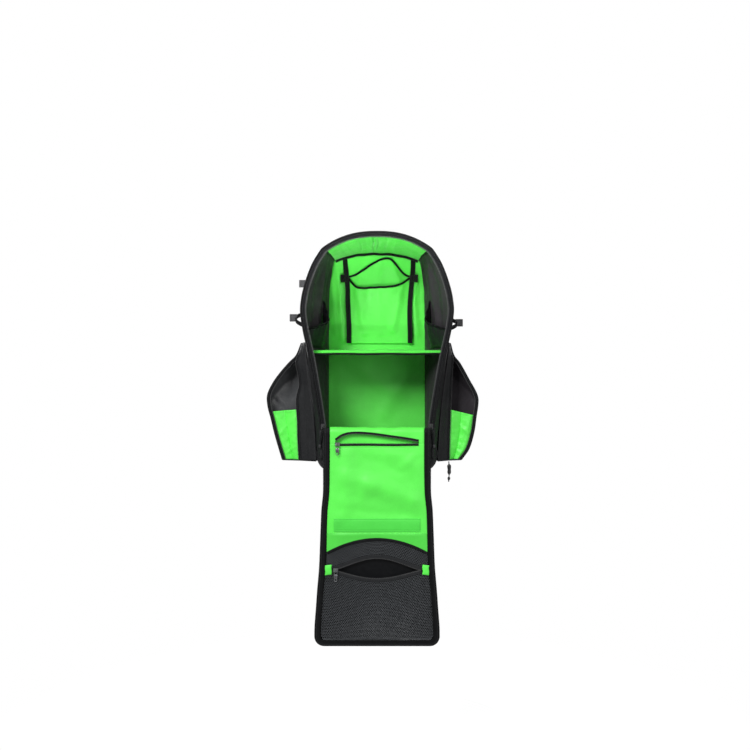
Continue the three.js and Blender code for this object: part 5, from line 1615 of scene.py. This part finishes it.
# Side pockets
def pocket_shape(side, rows):
    def share(z):
        return (z - POCKET_BASE) / (POCKET_TOP - POCKET_BASE)

    def inner(z):
        return POCKET_REACH * lookup(rows, "inner", share(z))

    def outer(z):
        return POCKET_REACH * lookup(rows, "outer", share(z))

    def wall_at(along, z):
        along, z = np.broadcast_arrays(np.asarray(along, float), np.asarray(z, float))
        swell = 9.0 * clamp((1 - share(z)) * 3)
        start_x = body_half(z, POCKET_REAR) + GAP + 1.2
        rear_y = -DEPTH * POCKET_REAR
        a, b, c = (1 - along) ** 2, 2 * along * (1 - along), along**2
        x = a * start_x + b * (outer(z) + swell) + c * outer(z)
        y = a * rear_y + b * (rear_y - 4) - c * POCKET_OUTER_Y
        return vec(side * x, y, z)

    def front(z):
        return vec(side * (body_half(z, POCKET_INNER) + GAP + 0.8), -DEPTH * POCKET_INNER + 0 * z, z)

    def inner_edge(z):
        return vec(side * inner(z), -POCKET_MOUTH_Y + 0 * z, z)

    return share, wall_at, front, inner_edge


def side_pocket(side, rows, word, fall):
    share, wall_at, front, inner_edge = pocket_shape(side, rows)
    height = POCKET_TOP - POCKET_BASE
    u, v = np.meshgrid(np.linspace(0, 1, 61), np.linspace(0, 1, 91))
    z = POCKET_BASE + height * v
    mid = wall_at(u, z)
    out = np.cross(wall_at(u + 0.01, z) - wall_at(u - 0.01, z), wall_at(u, z + 1) - wall_at(u, z - 1))
    out = unit(out * np.sign(out[..., :1] * side))
    edge = clamp(5 * u) * clamp(6 * (1 - u)) * clamp(12 * v) * clamp(8 * (1 - v))
    fold = (
        1.6 * lumps(mid, 52.0, side)
        + 0.7 * lumps(mid, 19.0, 3.0)
        + 1.8 * ridges(
            u * 100, z, ((20, 250, 80, 150, 6, 1), (30, 120, 90, 200, 6, -0.8), (10, 60, 70, 110, 7, 0.8))
        )
    )
    inside = mid + out * (fold * edge)[..., None]
    build = Build().sheet(inside, out * POCKET_WALL, slots=(1, 0, 0))
    # floor
    wall_share, edge_share = 0.62, 0.86
    u, v = np.meshgrid(np.linspace(0, 1, 61), np.linspace(0, 1, 13))
    depth = mix(POCKET_REAR + 0.012, POCKET_INNER - 0.02, u)
    base = np.full(u.shape, POCKET_BASE)
    near = vec(side * (body_half(base, depth) + 2 * GAP), -DEPTH * depth, 0)
    far = wall_at(clamp(u / wall_share), base)
    far = mix(far, inner_edge(base), clamp((u - wall_share) / (edge_share - wall_share))[..., None])
    foot = front(base)
    foot = vec(foot[..., 0] + side * 2, foot[..., 1] + 2.5, 0)
    far = mix(far, foot, clamp((u - edge_share) / (1 - edge_share))[..., None])
    floor = mix(near, far, v[..., None])
    floor[..., 2] = POCKET_BASE + 0.6
    build.sheet(floor, np.array((0, 0, -POCKET_WALL)), slots=(1, 0, 0))
    # The right pocket's outer wall takes the blue tint, a painted reflection on black cloth.
    outside_cloth = painted_reflection_cloth if side > 0 else black_cloth
    inside_cloth = black_lining if side > 0 else grey_cloth
    build.finish(
        f"pocket_wall_{word}", [outside_cloth, inside_cloth], "black_cloth", [f"pocket_wall_{word}"]
    )
    # facing and its zip tape
    u, v = np.meshgrid(np.linspace(0, 1, 15), np.linspace(0, 1, 91))
    z = mix(POCKET_BASE + 1.4, POCKET_TOP, v)
    run = inner_edge(z) - front(z)
    normal = unit(vec(run[..., 1], -run[..., 0], 0) * side)
    mid = inner_edge(z) + run * (u - 1)[..., None]
    grooves = 0.7 * hump(u, 0.5, 0.06) + 0.4 * hump(u, 0.2, 0.05)
    puff = 0.6 + 0.6 * lumps(mid, 30.0, 2.0) * clamp(10 * np.minimum(v, 1 - v)) - grooves
    build = Build().sheet(mid, normal * (POCKET_WALL + puff * clamp(6 * np.minimum(u, 1 - u)))[..., None])
    mouth_top = mix(POCKET_BASE, POCKET_TOP, 0.9)
    z = np.linspace(POCKET_BASE + 1.9, mouth_top, 120)
    run = inner_edge(z) - front(z)
    length = np.linalg.norm(run, axis=-1, keepdims=True)
    normal = unit(vec(run[..., 1], -run[..., 0], 0) * side)
    path = inner_edge(z) + run / length * -3.0 + normal * (POCKET_WALL + 0.7)
    build.sweep(path, unit(run), tape_profile(7.4, 1.5, 0.4), slot=1)
    piping = inner_edge(z) + run / length * 0.4 + normal * (POCKET_WALL * 0.5)
    build.sweep(piping, unit(run), round_profile(1.7, 10), slot=2)
    build.finish(
        f"pocket_facing_{word}",
        [black_cloth, tape, piping_cloth],
        "black_cloth",
        [f"pocket_facing_{word}"],
    )
    teeth(
        zip_teeth,
        path + unit(run) * 3.9 + normal * 0.2,
        unit(run),
        normal,
        pitch=1.9,
        width=1.1,
        reach=2.6,
        thickness=1.6,
    )
    stitch(black_stitches, path - unit(run) * 2.2 + normal * 1.0, normal)
    # bound outer edge of the mouth
    z = np.linspace(POCKET_BASE + 1, mouth_top, 130)
    p = wall_at(np.ones(130), z)
    path = vec(p[:, 0] - side * 2.45, p[:, 1] - 1.5, z)
    build = Build().sweep(path, (1, 0, 0), tape_profile(7.0, 2.2, 0.5))
    build.sweep(vec(p[:, 0] + side * 0.6, p[:, 1] - 0.6, z), (1, 0, 0), round_profile(1.8, 10), slot=1)
    build.finish(f"pocket_edge_{word}", [tape, piping_cloth], "black_webbing", [f"pocket_edge_{word}"])
    teeth(
        zip_teeth,
        path + np.array((-side * 3.7, -0.2, 0)),
        (-side, 0, 0),
        (0, -1, 0),
        pitch=1.9,
        width=1.1,
        reach=2.6,
        thickness=1.6,
    )
    stitch(black_stitches, path + np.array((side * 1.6, -1.5, 0)), (0, -1, 0))
    # gusset with its pleat
    u, v = np.meshgrid(np.linspace(0, 1, 61), np.linspace(0, 1, 61))
    z = mix(POCKET_BASE + 1.4, POCKET_BASE + 118 - fall * u, v)
    start, end = inner_edge(z), wall_at(np.ones(z.shape), z)
    x = mix(np.abs(start[..., 0]) + 0.6, np.abs(end[..., 0]) - POCKET_WALL - 2.6, u)
    pleat = 9.0 * np.maximum(0, 1 - (np.abs(u - 0.5) / 0.34) ** 0.8)
    p = vec(side * x, mix(start[..., 1], end[..., 1], u) + 1.6 + pleat, z)
    edge = clamp(7 * np.minimum(u, 1 - u)) * clamp(8 * v)
    crumple = ridges(
        u * 50,
        z - POCKET_BASE,
        (
            (5, 100, 45, 60, 4, 1.3),
            (8, 60, 30, 40, 4, -1.1),
            (45, 100, 28, 30, 4, 1.0),
            (10, 30, 40, 14, 3, 1.2),
        ),
    )
    p[..., 1] -= (crumple + 0.9 * lumps(p, 15.0, side) + 0.4 * lumps(p, 6.0, 2.0)) * edge
    build = Build().sheet(p, np.array((0, 1.3, 0)))
    build.finish(f"pocket_gusset_{word}", [green_nylon], "green_lining", [f"pocket_gusset_{word}"])
    stitch(green_stitches, p[-3] + np.array((0, -0.3, 0)), (0, -1, 0), radius=0.33)
    fold = p[:, 30] + np.array((-side * 0.6, -0.2, 0))
    stitch(green_stitches, fold[2:-2], (0, -1, 0), radius=0.3)


side_pocket(-1, LEFT_POCKET, "left", 5.0)
side_pocket(1, RIGHT_POCKET, "right", 14.0)


# Bat sleeves behind the side pockets
def bat_sleeve(side):
    word = "left" if side < 0 else "right"
    x0 = side * (BACK_WIDTH / 2 + 1.4 + SLEEVE_RADIUS)
    turn = np.linspace(0, 2 * math.pi, 72, endpoint=False)
    outer = [
        (0.5, 0.0), (16.0, 0.0), (SLEEVE_RADIUS - 6, 0.4), (SLEEVE_RADIUS - 1.8, 1.9), (SLEEVE_RADIUS, 6.0)
    ]
    outer += [(SLEEVE_RADIUS, float(h)) for h in np.linspace(12, 163.6, 30)]
    inner = (
        [(SLEEVE_RADIUS - 1.2, 165.0)]
        + [(SLEEVE_RADIUS - 2.5, float(h)) for h in np.linspace(163.6, 9, 30)]
    )
    inner += [(SLEEVE_RADIUS - 6.5, 2.8), (0.5, 2.5)]
    profile = np.array(outer + inner)
    radius, height = profile[:, None, 0], profile[:, None, 1]
    p = vec(radius * np.cos(turn), radius * np.sin(turn), height + 0 * turn)
    soft = clamp(height / 30) * clamp((SLEEVE_RADIUS + 1 - radius * 0) / 40)
    dent = 1.3 * lumps(p * np.array((1, 1, 0.5)), 26.0, side) - 1.3
    p[..., :2] *= (1 + soft * np.minimum(dent, 0) / SLEEVE_RADIUS)[..., None]
    p = p + np.array((x0, -41.0, 28.0))
    n, m = len(profile), len(turn)
    faces, uvs = [], []
    run = np.concatenate([[0], np.cumsum(np.linalg.norm(np.diff(profile, axis=0), axis=1))])
    around = np.arange(m + 1) / m * 2 * math.pi * SLEEVE_RADIUS
    for i in range(n - 1):
        for k in range(m):
            k2 = (k + 1) % m
            faces.append((i * m + k, i * m + k2, (i + 1) * m + k2, (i + 1) * m + k))
            uvs.append(
                (
                    (around[k], run[i]), (around[k + 1], run[i]),
                    (around[k + 1], run[i + 1]), (around[k], run[i + 1]),
                )
            )
    for ring in (0, n - 1):
        faces.append(tuple(ring * m + k for k in range(m)))
        uvs.append([(0.0, 0.0)] * m)
    build = Build().add(p.reshape(-1, 3), faces, uvs)
    rim_ring = vec(
        (SLEEVE_RADIUS - 1.2) * np.cos(turn), (SLEEVE_RADIUS - 1.2) * np.sin(turn), 161.5 + 0 * turn
    )
    rim_ring = rim_ring + np.array((x0, -41.0, 28.0))
    out = vec(np.cos(turn), np.sin(turn), 0 * turn)
    build.sweep(rim_ring, (0, 0, 1), tape_profile(9.0, 3.6, 0.3), closed=True, slot=1)
    build.finish(f"bat_sleeve_{word}", [black_cloth, piping_cloth], "black_cloth", [f"bat_sleeve_{word}"])
    for low in (158.8, 164.2):
        loop = vec(
            (SLEEVE_RADIUS + 0.75) * np.cos(turn), (SLEEVE_RADIUS + 0.75) * np.sin(turn), low + 0 * turn
        )
        stitch(black_stitches, loop + np.array((x0, -41.0, 28.0)), out)


bat_sleeve(-1)
bat_sleeve(1)


# Bat straps with their moulded tabs
def bat_strap(name, side, rear, tab, front, reach, turned):
    def body_at(z, share):
        return np.array((side * (float(body_half(np.array(float(z)), share)) + 2.1), -DEPTH * share, z))

    start, end = body_at(rear, 0.14), body_at(front, 0.7)
    tab_y = -0.42 * DEPTH
    path = curve_through(
        (
            start,
            (side * (abs(start[0]) + 0.55 * (reach - abs(start[0]))), start[1] - 2, mix(rear, tab, 0.3)),
            (side * reach, tab_y + 12, mix(rear, tab, 0.85)),
            (side * reach, tab_y - 10, mix(tab, front, 0.3)),
            end,
        ),
        60,
    )
    build = Build().sweep(path, (0, 0, 1), tape_profile(10.0, 1.8, 0.3))
    if turned:
        centre, size, face = (side * reach, tab_y + 8, tab), (3.0, 18.0, 18.0), (side, 0, 0)
    else:
        centre, size, face = (side * (reach + 8), tab_y, tab), (18.0, 3.0, 18.0), (0, -1, 0)
    points, faces = box_shape(centre, size, bevel=0.22)
    build.add(points, faces, slot=1)
    small = tuple(0.52 * s if s > 4 else 0.9 for s in size)
    shift = np.array(face, float) * 1.7
    points, faces = box_shape(np.array(centre) + shift, small, bevel=0.3)
    build.add(points, faces, slot=2)
    build.finish(name, [webbing, rubber, grey_rubber], "black_webbing", [name], smooth_angle=30)


for row in BAT_STRAPS:
    bat_strap(*row)


# Padded pieces: a simulation swells the cloth over the foam
def remade(piece, voxel):
    """The piece's shape as an even mesh of small faces."""
    remesh = piece.modifiers.new("remesh", "REMESH")
    remesh.mode = "VOXEL"
    remesh.voxel_size = voxel
    made = bpy.data.meshes.new_from_object(piece.evaluated_get(bpy.context.evaluated_depsgraph_get()))
    piece.modifiers.clear()
    materials = list(piece.data.materials)
    piece.data = made
    made.materials.clear()
    for m in materials:
        made.materials.append(m)
    made.shade_smooth()


def coordinates(mesh):
    co = np.zeros(len(mesh.vertices) * 3)
    mesh.vertices.foreach_get("co", co)
    return co.reshape(-1, 3)


def inflate(piece, pressure, cap, frames=20):
    """Cloth with pressure inside, run for a short time, with each point's travel capped."""
    start = coordinates(piece.data)
    cloth = piece.modifiers.new("cloth", "CLOTH")
    cloth.settings.quality = 5
    cloth.settings.mass = 0.3
    cloth.settings.use_pressure = True
    cloth.settings.uniform_pressure_force = pressure
    cloth.settings.effector_weights.gravity = 0.0
    scene = bpy.context.scene
    for number in range(1, frames + 1):
        scene.frame_set(number)
    end = coordinates(piece.evaluated_get(bpy.context.evaluated_depsgraph_get()).to_mesh())
    piece.modifiers.clear()
    scene.frame_set(1)
    move = end - start
    far = np.linalg.norm(move, axis=1, keepdims=True)
    move *= np.minimum(1.0, cap / np.maximum(far, 1e-9))
    piece.data.vertices.foreach_set("co", (start + move).ravel())
    piece.data.update()


def padded(piece, voxel, pressure, cap, channels):
    """Remeshes and swells a pad, then presses its sewn channels in."""
    remade(piece, voxel)
    inflate(piece, pressure, cap)
    local = coordinates(piece.data) * 1000.0 - np.array((0.0, -HAUL_TOP_Y, -HAUL_TOP))
    piece.data.vertices.foreach_set("co", to_world(channels(local)).ravel())
    piece.data.update()
    smoother = piece.modifiers.new("smooth", "SUBSURF")
    smoother.levels = smoother.render_levels = 1


REAR = GAP + BACK_THICKNESS
PAD_BASE, PAD_HEIGHT, PAD_WIDTH = 88.0, 320.0, 186.0


def rounded_rectangle(width, height, radius, middle_z, count=160):
    angle = np.linspace(0, math.pi / 2, 14)
    parts = []
    for k, (sx, sz) in enumerate(((1, 1), (-1, 1), (-1, -1), (1, -1))):
        turn = angle + k * math.pi / 2
        parts.append(
            vec(
                sx * (width / 2 - radius) + radius * np.cos(turn),
                0 * turn,
                middle_z + sz * (height / 2 - radius) + radius * np.sin(turn),
            )
        )
    return resampled(np.concatenate(parts), count, closed=True)


pad_middle = PAD_BASE + PAD_HEIGHT / 2
outline = rounded_rectangle(PAD_WIDTH - 8, PAD_HEIGHT - 8, 24, pad_middle)
build = plate(
    Build(),
    outline[:, [0, 2]],
    14,
    lambda x, z, share: REAR + GAP + 0.5 + 0 * x,
    lambda x, z, share: REAR + GAP + 3.0 + 3.6 * (1 - share**6) + 0 * x,
    (0, 0),
)
pad = build.finish("back_pad", [mesh_pad], "padding", ["back_pad"])


def pad_channels(p):
    x, y, z = p[:, 0], p[:, 1], p[:, 2]
    rear = clamp((y - REAR - 2.5) / 3)
    lines = hump(np.abs(x), 30, 4.5) + hump(z, pad_middle - 62, 4.5) * clamp((np.abs(x) - 26) / 6)
    lines = lines + hump(z, pad_middle + 62, 4.5) * clamp((np.abs(x) - 26) / 6)
    p[:, 1] = np.clip(y - 3.4 * np.minimum(lines, 1.0) * rear, REAR + 0.4, REAR + 14.0)
    return p


padded(pad, 0.0048, 4.0, 0.006, pad_channels)
build = Build()
ring = (
    rounded_rectangle(PAD_WIDTH - 1.5, PAD_HEIGHT - 1.5, 25, pad_middle, 200) + np.array((0, REAR + 2.6, 0))
)
build.sweep(ring, (0, 1, 0), round_profile(2.1, 10), closed=True)
build.finish("back_pad_piping", [piping_cloth], "padding")

SHOULDER_PAD = ((55, 1.6, 462), (55, 24, 458), (65, 50, 410), (79, 60, 335), (92, 52, 255), (99, 40, 205))
SHOULDER_WEB = ((103, 27, 140), (106, 8, 66), (106, 2.2, 40))


def shoulder_strap(side):
    word = "left" if side < 0 else "right"
    pads = [(side * x, REAR + back, z) for x, back, z in SHOULDER_PAD]
    webs = [(side * x, REAR + back, z) for x, back, z in SHOULDER_WEB]
    path = curve_through(pads, 90)
    v = np.linspace(0, 1, 90)
    width = 60.0 * mix(1, 0.72, v**2)
    section = np.array(
        [
            (-0.47, -0.3), (-0.3, -0.42), (0, -0.45), (0.3, -0.42), (0.47, -0.3),
            (0.47, 0.3), (0.3, 0.42), (0, 0.45), (-0.3, 0.42), (-0.47, 0.3),
        ]
    )
    tangent = unit(np.gradient(path, axis=0))
    across = np.array((1.0, 0, 0)) - tangent * tangent[:, :1]
    across = unit(across)
    out = np.cross(across, tangent)
    points = (
        path[:, None]
        + across[:, None] * (section[None, :, 0:1] * width[:, None, None])
        + out[:, None] * (section[None, :, 1:2] * 9.5)
    )
    n, m = len(path), len(section)
    faces = [
        (i * m + k, i * m + (k + 1) % m, (i + 1) * m + (k + 1) % m, (i + 1) * m + k)
        for i in range(n - 1)
        for k in range(m)
    ]
    faces += [tuple(range(m)), tuple((n - 1) * m + k for k in range(m))[::-1]]
    build = Build().add(points.reshape(-1, 3), faces)
    strap = build.finish(f"shoulder_pad_{word}", [mesh_pad], "padding", [f"shoulder_strap_{word}"])

    def channels(p):
        near = np.argmin(((p[:, None, :] - path[None, ::3]) ** 2).sum(-1), axis=1) * 3
        offset = p - path[near]
        sideways = (offset * across[near]).sum(-1) / width[near]
        away = (offset * out[near]).sum(-1)
        press = 2.2 * hump(np.abs(sideways), 0.3, 0.035) * np.sign(away) * clamp(np.abs(away) / 3)
        p = p - out[near] * press[:, None]
        p[:, 1] = np.maximum(p[:, 1], REAR + 0.3)
        return p

    padded(strap, 0.0046, 3.0, 0.004, channels)
    build = Build()
    for edge in (-0.485, 0.485):
        build.sweep(path + across * (width * edge)[:, None], out, tape_profile(9.0, 2.6, 0.3))
    build.finish(f"shoulder_binding_{word}", [piping_cloth], "padding")
    web = curve_through([pads[-2], pads[-1], *webs], 80)
    build = Build().sweep(
        web + np.array((0, 5.0, 0)) * clamp((20 - np.arange(80)) / 20)[:, None],
        (1, 0, 0),
        tape_profile(25.0, 2.0, 0.2),
    )
    build.finish(f"shoulder_webbing_{word}", [webbing], "padding")


shoulder_strap(-1)
shoulder_strap(1)

# Haul loop: flat on the back at its feet, with a quarter turn, so that its top lies flat under a hook
foot = REAR + 1.9
places = (
    (-34, foot, 476),
    (-34, foot, 498),
    (-33, mix(foot, HAUL_TOP_Y, 0.6), mix(498, HAUL_TOP, 0.45)),
    (-34 * 0.66, mix(foot, HAUL_TOP_Y, 0.85), mix(498, HAUL_TOP, 0.86)),
    (0, HAUL_TOP_Y, HAUL_TOP + 1.5),
    (34 * 0.66, mix(foot, HAUL_TOP_Y, 0.85), mix(498, HAUL_TOP, 0.86)),
    (33, mix(foot, HAUL_TOP_Y, 0.6), mix(498, HAUL_TOP, 0.45)),
    (34, foot, 498),
    (34, foot, 476),
)
path = curve_through(places, 140)
v = np.linspace(0, 1, 140)
quarter = clamp((1 - np.abs(2 * v - 1) - 0.3) / 0.42) * math.pi / 2
side = vec(np.where(v < 0.5, 1, -1) * np.cos(quarter), np.sin(quarter), 0 * v)
tangent = unit(np.gradient(path, axis=0))
side = unit(side - tangent * (side * tangent).sum(-1, keepdims=True))
side[v >= 0.5] *= -1
side = np.where(
    (quarter > math.pi / 2 - 0.01)[:, None],
    np.array((0.0, 1.0, 0.0)),
    side * np.where(v < 0.5, 1, -1)[:, None],
)
build = Build().sweep(path, side, tape_profile(24.0, 3.0, 0.3))
build.finish("haul_loop", [webbing], "black_webbing", ["haul_loop"])


# Zip sliders and their pullers
def zip_slider(name, x, drop, lift, node, body):
    at = flap_point(x, drop, lift)
    face = at[1] - 3.4
    build = Build()
    points, faces = box_shape((at[0], at[1] - 1.0, at[2]), (11.0, 2.0, 9.0), bevel=0.4)
    build.add(points, faces)
    points, faces = box_shape((at[0], at[1] - 2.7, at[2]), (9.4, 1.5, 7.8), bevel=0.42)
    build.add(points, faces)
    reach, leg = 4.0, 3.5
    bail = [
        (at[0], face + 0.4, at[2] + leg),
        (at[0], face - reach + 1.2, at[2] + leg),
        (at[0], face - reach, at[2] + leg - 1.2),
    ]
    bail += [
        (at[0], face - reach, at[2] - leg + 1.2),
        (at[0], face - reach + 1.2, at[2] - leg),
        (at[0], face + 0.4, at[2] - leg),
    ]
    build.sweep(resampled(smoothed(resampled(bail, 30), 2), 30), (1, 0, 0), round_profile(0.78, 10))
    build.finish(f"{node}_slider", [satin_metal], "zip_metal", [f"{node}_slider"], smooth_angle=35)
    build = Build()
    y = face - 1.9
    eye = np.array(
        [
            (-2.4, -1.45), (2.4, -1.45), (3.3, -2.4), (3.3, -8.2),
            (2.4, -9.2), (-2.4, -9.2), (-3.3, -8.2), (-3.3, -2.4),
        ]
    )
    ring = resampled(vec(at[0] + eye[:, 0], y + 0 * eye[:, 0], at[2] + eye[:, 1]), 48, closed=True)
    build.sweep(smoothed(ring, 2, True), (0, 1, 0), round_profile(0.8, 10), closed=True)
    outline = [
        (-2.6, -9.0),
        (2.6, -9.0),
        (3.9, -10.4),
        (3.6, -17.4),
        (2.2, -18.8),
        (-2.2, -18.8),
        (-3.6, -17.4),
        (-3.9, -10.4),
    ]
    flat = smoothed(resampled(vec(*np.array([(a, 0, b) for a, b in outline]).T), 48, closed=True), 1, True)
    place_at = np.array((at[0], 0, at[2]))
    plate(
        build,
        (flat + place_at)[:, [0, 2]],
        7,
        lambda x, z, share: y - 0.5 - 0.55 * (1 - share**4) + 0 * x,
        lambda x, z, share: y + 0.5 + 0.3 * (1 - share**4) + 0 * x,
        (0, 0),
        rim=0.6,
    )
    angle = np.arange(40) / 40 * 2 * math.pi
    loop = vec(at[0] + 3.0 * np.cos(angle), y + 0 * angle, at[2] - 21.0 + 3.3 * np.sin(angle))
    build.sweep(loop, (0, 1, 0), round_profile(0.72, 10), closed=True)
    build.finish(f"{node}_puller", [satin_metal], "zip_metal", [f"{node}_puller"], body, smooth_angle=40)


zip_slider("lining", -LINING_ZIP_HALF + 5, LINING_ZIP_DROP + 1, 2.1, "lining_zip", "lining_puller")
zip_slider("net", -NET_MOUTH_HALF + 8, NET_MOUTH_DROP, 4.7, "net_zip", "net_puller")


# Cord loops on the sliders at the two ends of the mouth's zip
def mouth_pull(side):
    word = "left" if side < 0 else "right"
    x = side * (float(front_half(np.array(HINGE))) - MOUTH_BAND / 2)
    y = -(DEPTH + 2.6 + 2 * GAP) - 1.6
    build = Build()
    points, faces = box_shape((x, y, HINGE + 7.5), (9.0, 3.2, 13.0), bevel=0.3)
    build.add(points, faces)
    bridge = [
        (x, y - 1.2, HINGE + 11),
        (x, y - 3.0, HINGE + 9.6),
        (x, y - 3.0, HINGE + 4.6),
        (x, y - 1.2, HINGE + 3),
    ]
    build.sweep(resampled(smoothed(resampled(bridge, 24), 2), 24), (1, 0, 0), tape_profile(3.4, 1.3, 0.1))
    build.finish(f"mouth_slider_{word}", [moulded_black], "rubber", smooth_angle=35)
    cord_x, cord_y = x + side * 7, -(DEPTH + GAP + WALL + 2.5 + 2.2)
    down = [
        (x - side * 1.3, y - 1.6, 101.0),
        (x - side * 0.4, cord_y - 1.4, 96.0),
        (x + side * 1.4, cord_y - 1.0, 86.0),
        (cord_x - side * 1.5, cord_y, 62.0),
        (cord_x - side * 5.4, cord_y, 54.0),
        (cord_x - side * 7.4, cord_y, 44.0),
        (cord_x - side * 4.6, cord_y, 35.6),
        (cord_x, cord_y, 33.0),
        (cord_x + side * 4.6, cord_y, 35.6),
        (cord_x + side * 7.4, cord_y, 44.0),
        (cord_x + side * 5.4, cord_y, 54.0),
        (cord_x + side * 1.5, cord_y, 62.0),
        (x + side * 4.4, cord_y - 1.0, 86.0),
        (x + side * 2.6, cord_y - 1.4, 96.0),
        (x + side * 1.7, y - 1.6, 101.0),
    ]
    path = curve_through(down, 170)
    build = Build().sweep(path, (0, 1, 0), round_profile(1.1, 10))
    cord = build.finish(f"mouth_cord_{word}", [cord_cloth], "rubber", [f"mouth_pull_{word}"])
    collar = vec(np.full(10, cord_x), np.full(10, cord_y), np.linspace(65.5, 58.5, 10))
    collar[:, 0] -= side * np.linspace(0.5, 0, 10)
    grow = np.array((0.82, 0.95, 1, 1, 1, 1, 1, 1, 0.95, 0.82))
    build = Build().sweep(collar, (1, 0, 0), round_profile(3.3, 14, 0.62), scale=grow)
    knot = build.finish(f"mouth_cord_collar_{word}", [rubber], "rubber")
    points = to_world(path)


moulded_black = moulded("moulded_black", (0.006, 0.0063, 0.007), 0.36, 0.8, 0.04)
mouth_pull(-1)
mouth_pull(1)

# Moulded pull on the right side pocket's zip
_, _, _, pocket_inner_edge = pocket_shape(1, RIGHT_POCKET)
edge_at = pocket_inner_edge(np.array(POCKET_BASE))
pull_x, pull_y = float(edge_at[0]) + 1, float(edge_at[1]) - POCKET_WALL - 2.4
top_z = POCKET_BASE - POCKET_WALL - 2 * GAP
PULL = table(
    "at radius",
    (0.0, 1.3),
    (4.5, 1.2),
    (6.5, 1.8),
    (8.5, 4.0),
    (12.0, 4.6),
    (19.0, 3.9),
    (26.0, 4.3),
    (29.0, 3.0),
    (31.0, 1.4),
    (35.5, 1.3),
    (37.5, 2.9),
    (41.5, 3.1),
    (43.5, 1.6),
    (47.5, 1.3),
)
falls = np.linspace(0, 47.5, 90)
path = vec(pull_x + 0.9 * np.sin(falls / 13.0) * clamp(falls / 8), np.full(90, pull_y), top_z - falls)
build = Build().sweep(path, (1, 0, 0), round_profile(1.0, 14, 0.8), scale=lookup(PULL, "radius", falls))
build.finish("pocket_pull_right", [rubber], "rubber", ["pocket_pull_right"])

black_stitches.finish("black_stitching", [black_thread], "black_webbing")
green_stitches.finish("green_stitching", [green_thread], "green_lining")
zip_teeth.finish("zip_teeth", [black_teeth], "black_webbing", smooth_angle=30)


# Stage, light and camera
def light(name, position, target, size, power, spread=180.0):
    lamp = bpy.data.lights.new(name, "AREA")
    lamp.shape = "RECTANGLE"
    lamp.size, lamp.size_y = size
    lamp.energy = power
    lamp.spread = math.radians(spread)
    holder = bpy.data.objects.new(name, lamp)
    holder.location = position
    holder.rotation_euler = (Vector(target) - Vector(position)).to_track_quat("-Z", "Y").to_euler()
    bpy.context.scene.collection.objects.link(holder)


def fading_floor(height, radius):
    """A pale disc far below the hanging part, which fades out towards its edge."""
    mesh = bpy.data.meshes.new("floor")
    angle = np.arange(96) / 96 * 2 * math.pi
    ring = np.stack([radius * np.cos(angle), radius * np.sin(angle), np.full(96, height)], -1)
    mesh.from_pydata(ring.tolist(), [], [tuple(range(96))])
    n = Nodes("pale_floor", Roughness=0.9)
    n.shader.inputs["Specular IOR Level"].default_value = 0.0
    run = n.add("ShaderNodeVectorMath", {0: n.place}, operation="LENGTH").outputs["Value"]
    n.tree.links.new(n.span(run, 1.0, 0.0, 0.35 * abs(height), radius), n.shader.inputs["Alpha"])
    tone = n.blend(n.span(n.noise(900.0, 3.0), 0.0, 1.0, 0.3, 0.7), (0.9, 0.9, 0.9), (0.94, 0.94, 0.94))
    mesh.materials.append(n.done(tone))
    disc = bpy.data.objects.new("floor", mesh)
    bpy.context.scene.collection.objects.link(disc)


def studio_world(seen, lit):
    """A white surround, which lights the part less than it shows, so that the lamps give it its form."""
    world = bpy.data.worlds.new("studio")
    world.use_nodes = True
    tree = world.node_tree
    background = tree.nodes["Background"]
    background.inputs[0].default_value = (1.0, 1.0, 1.0, 1.0)
    path = tree.nodes.new("ShaderNodeLightPath")
    level = tree.nodes.new("ShaderNodeMix")
    level.inputs[2].default_value = lit
    level.inputs[3].default_value = seen
    tree.links.new(path.outputs["Is Camera Ray"], level.inputs[0])
    tree.links.new(level.outputs[0], background.inputs[1])
    bpy.context.scene.world = world


FLOOR_HEIGHT, FLOOR_RADIUS = -1.3, 1.7
SURROUND_SEEN, SURROUND_LIT = 1.0, 0.32
fading_floor(FLOOR_HEIGHT, FLOOR_RADIUS)
studio_world(SURROUND_SEEN, SURROUND_LIT)
light("key", (-1.2, -2.6, 1.2), (0, -0.2, -0.5), (1.1, 1.1), 94.0)
light("fill", (1.5, -2.9, 0.1), (0, -0.2, -0.5), (1.2, 1.8), 22.0)
light("low", (-0.2, -2.5, -1.15), (0, -0.1, 0.1), (0.6, 0.3), 1.1, spread=12.0)
light("left_rim", (-1.9, -0.7, 0.2), (0, -0.1, -0.4), (0.6, 1.6), 6.0)
light("right_rim", (1.9, -0.6, 0.3), (0, -0.1, -0.4), (0.6, 1.6), 6.0)
light("rear", (1.3, 2.5, 1.0), (0, 0.0, -0.4), (1.2, 1.2), 85.0)
light("rear_fill", (-1.6, 2.6, 0.0), (0, 0.0, -0.4), (1.2, 1.6), 40.0)

LENS_MM, SENSOR_MM = 41.76, 36.0
camera = bpy.data.objects.new("camera", bpy.data.cameras.new("camera"))
camera.data.sensor_width = SENSOR_MM
camera.data.lens = LENS_MM
camera.location = (-0.0046, -2.2224, -0.335)
camera.rotation_euler = (math.pi / 2, 0, 0)
bpy.context.scene.collection.objects.link(camera)
bpy.context.scene.camera = camera
bpy.context.scene.view_settings.view_transform = "Standard"
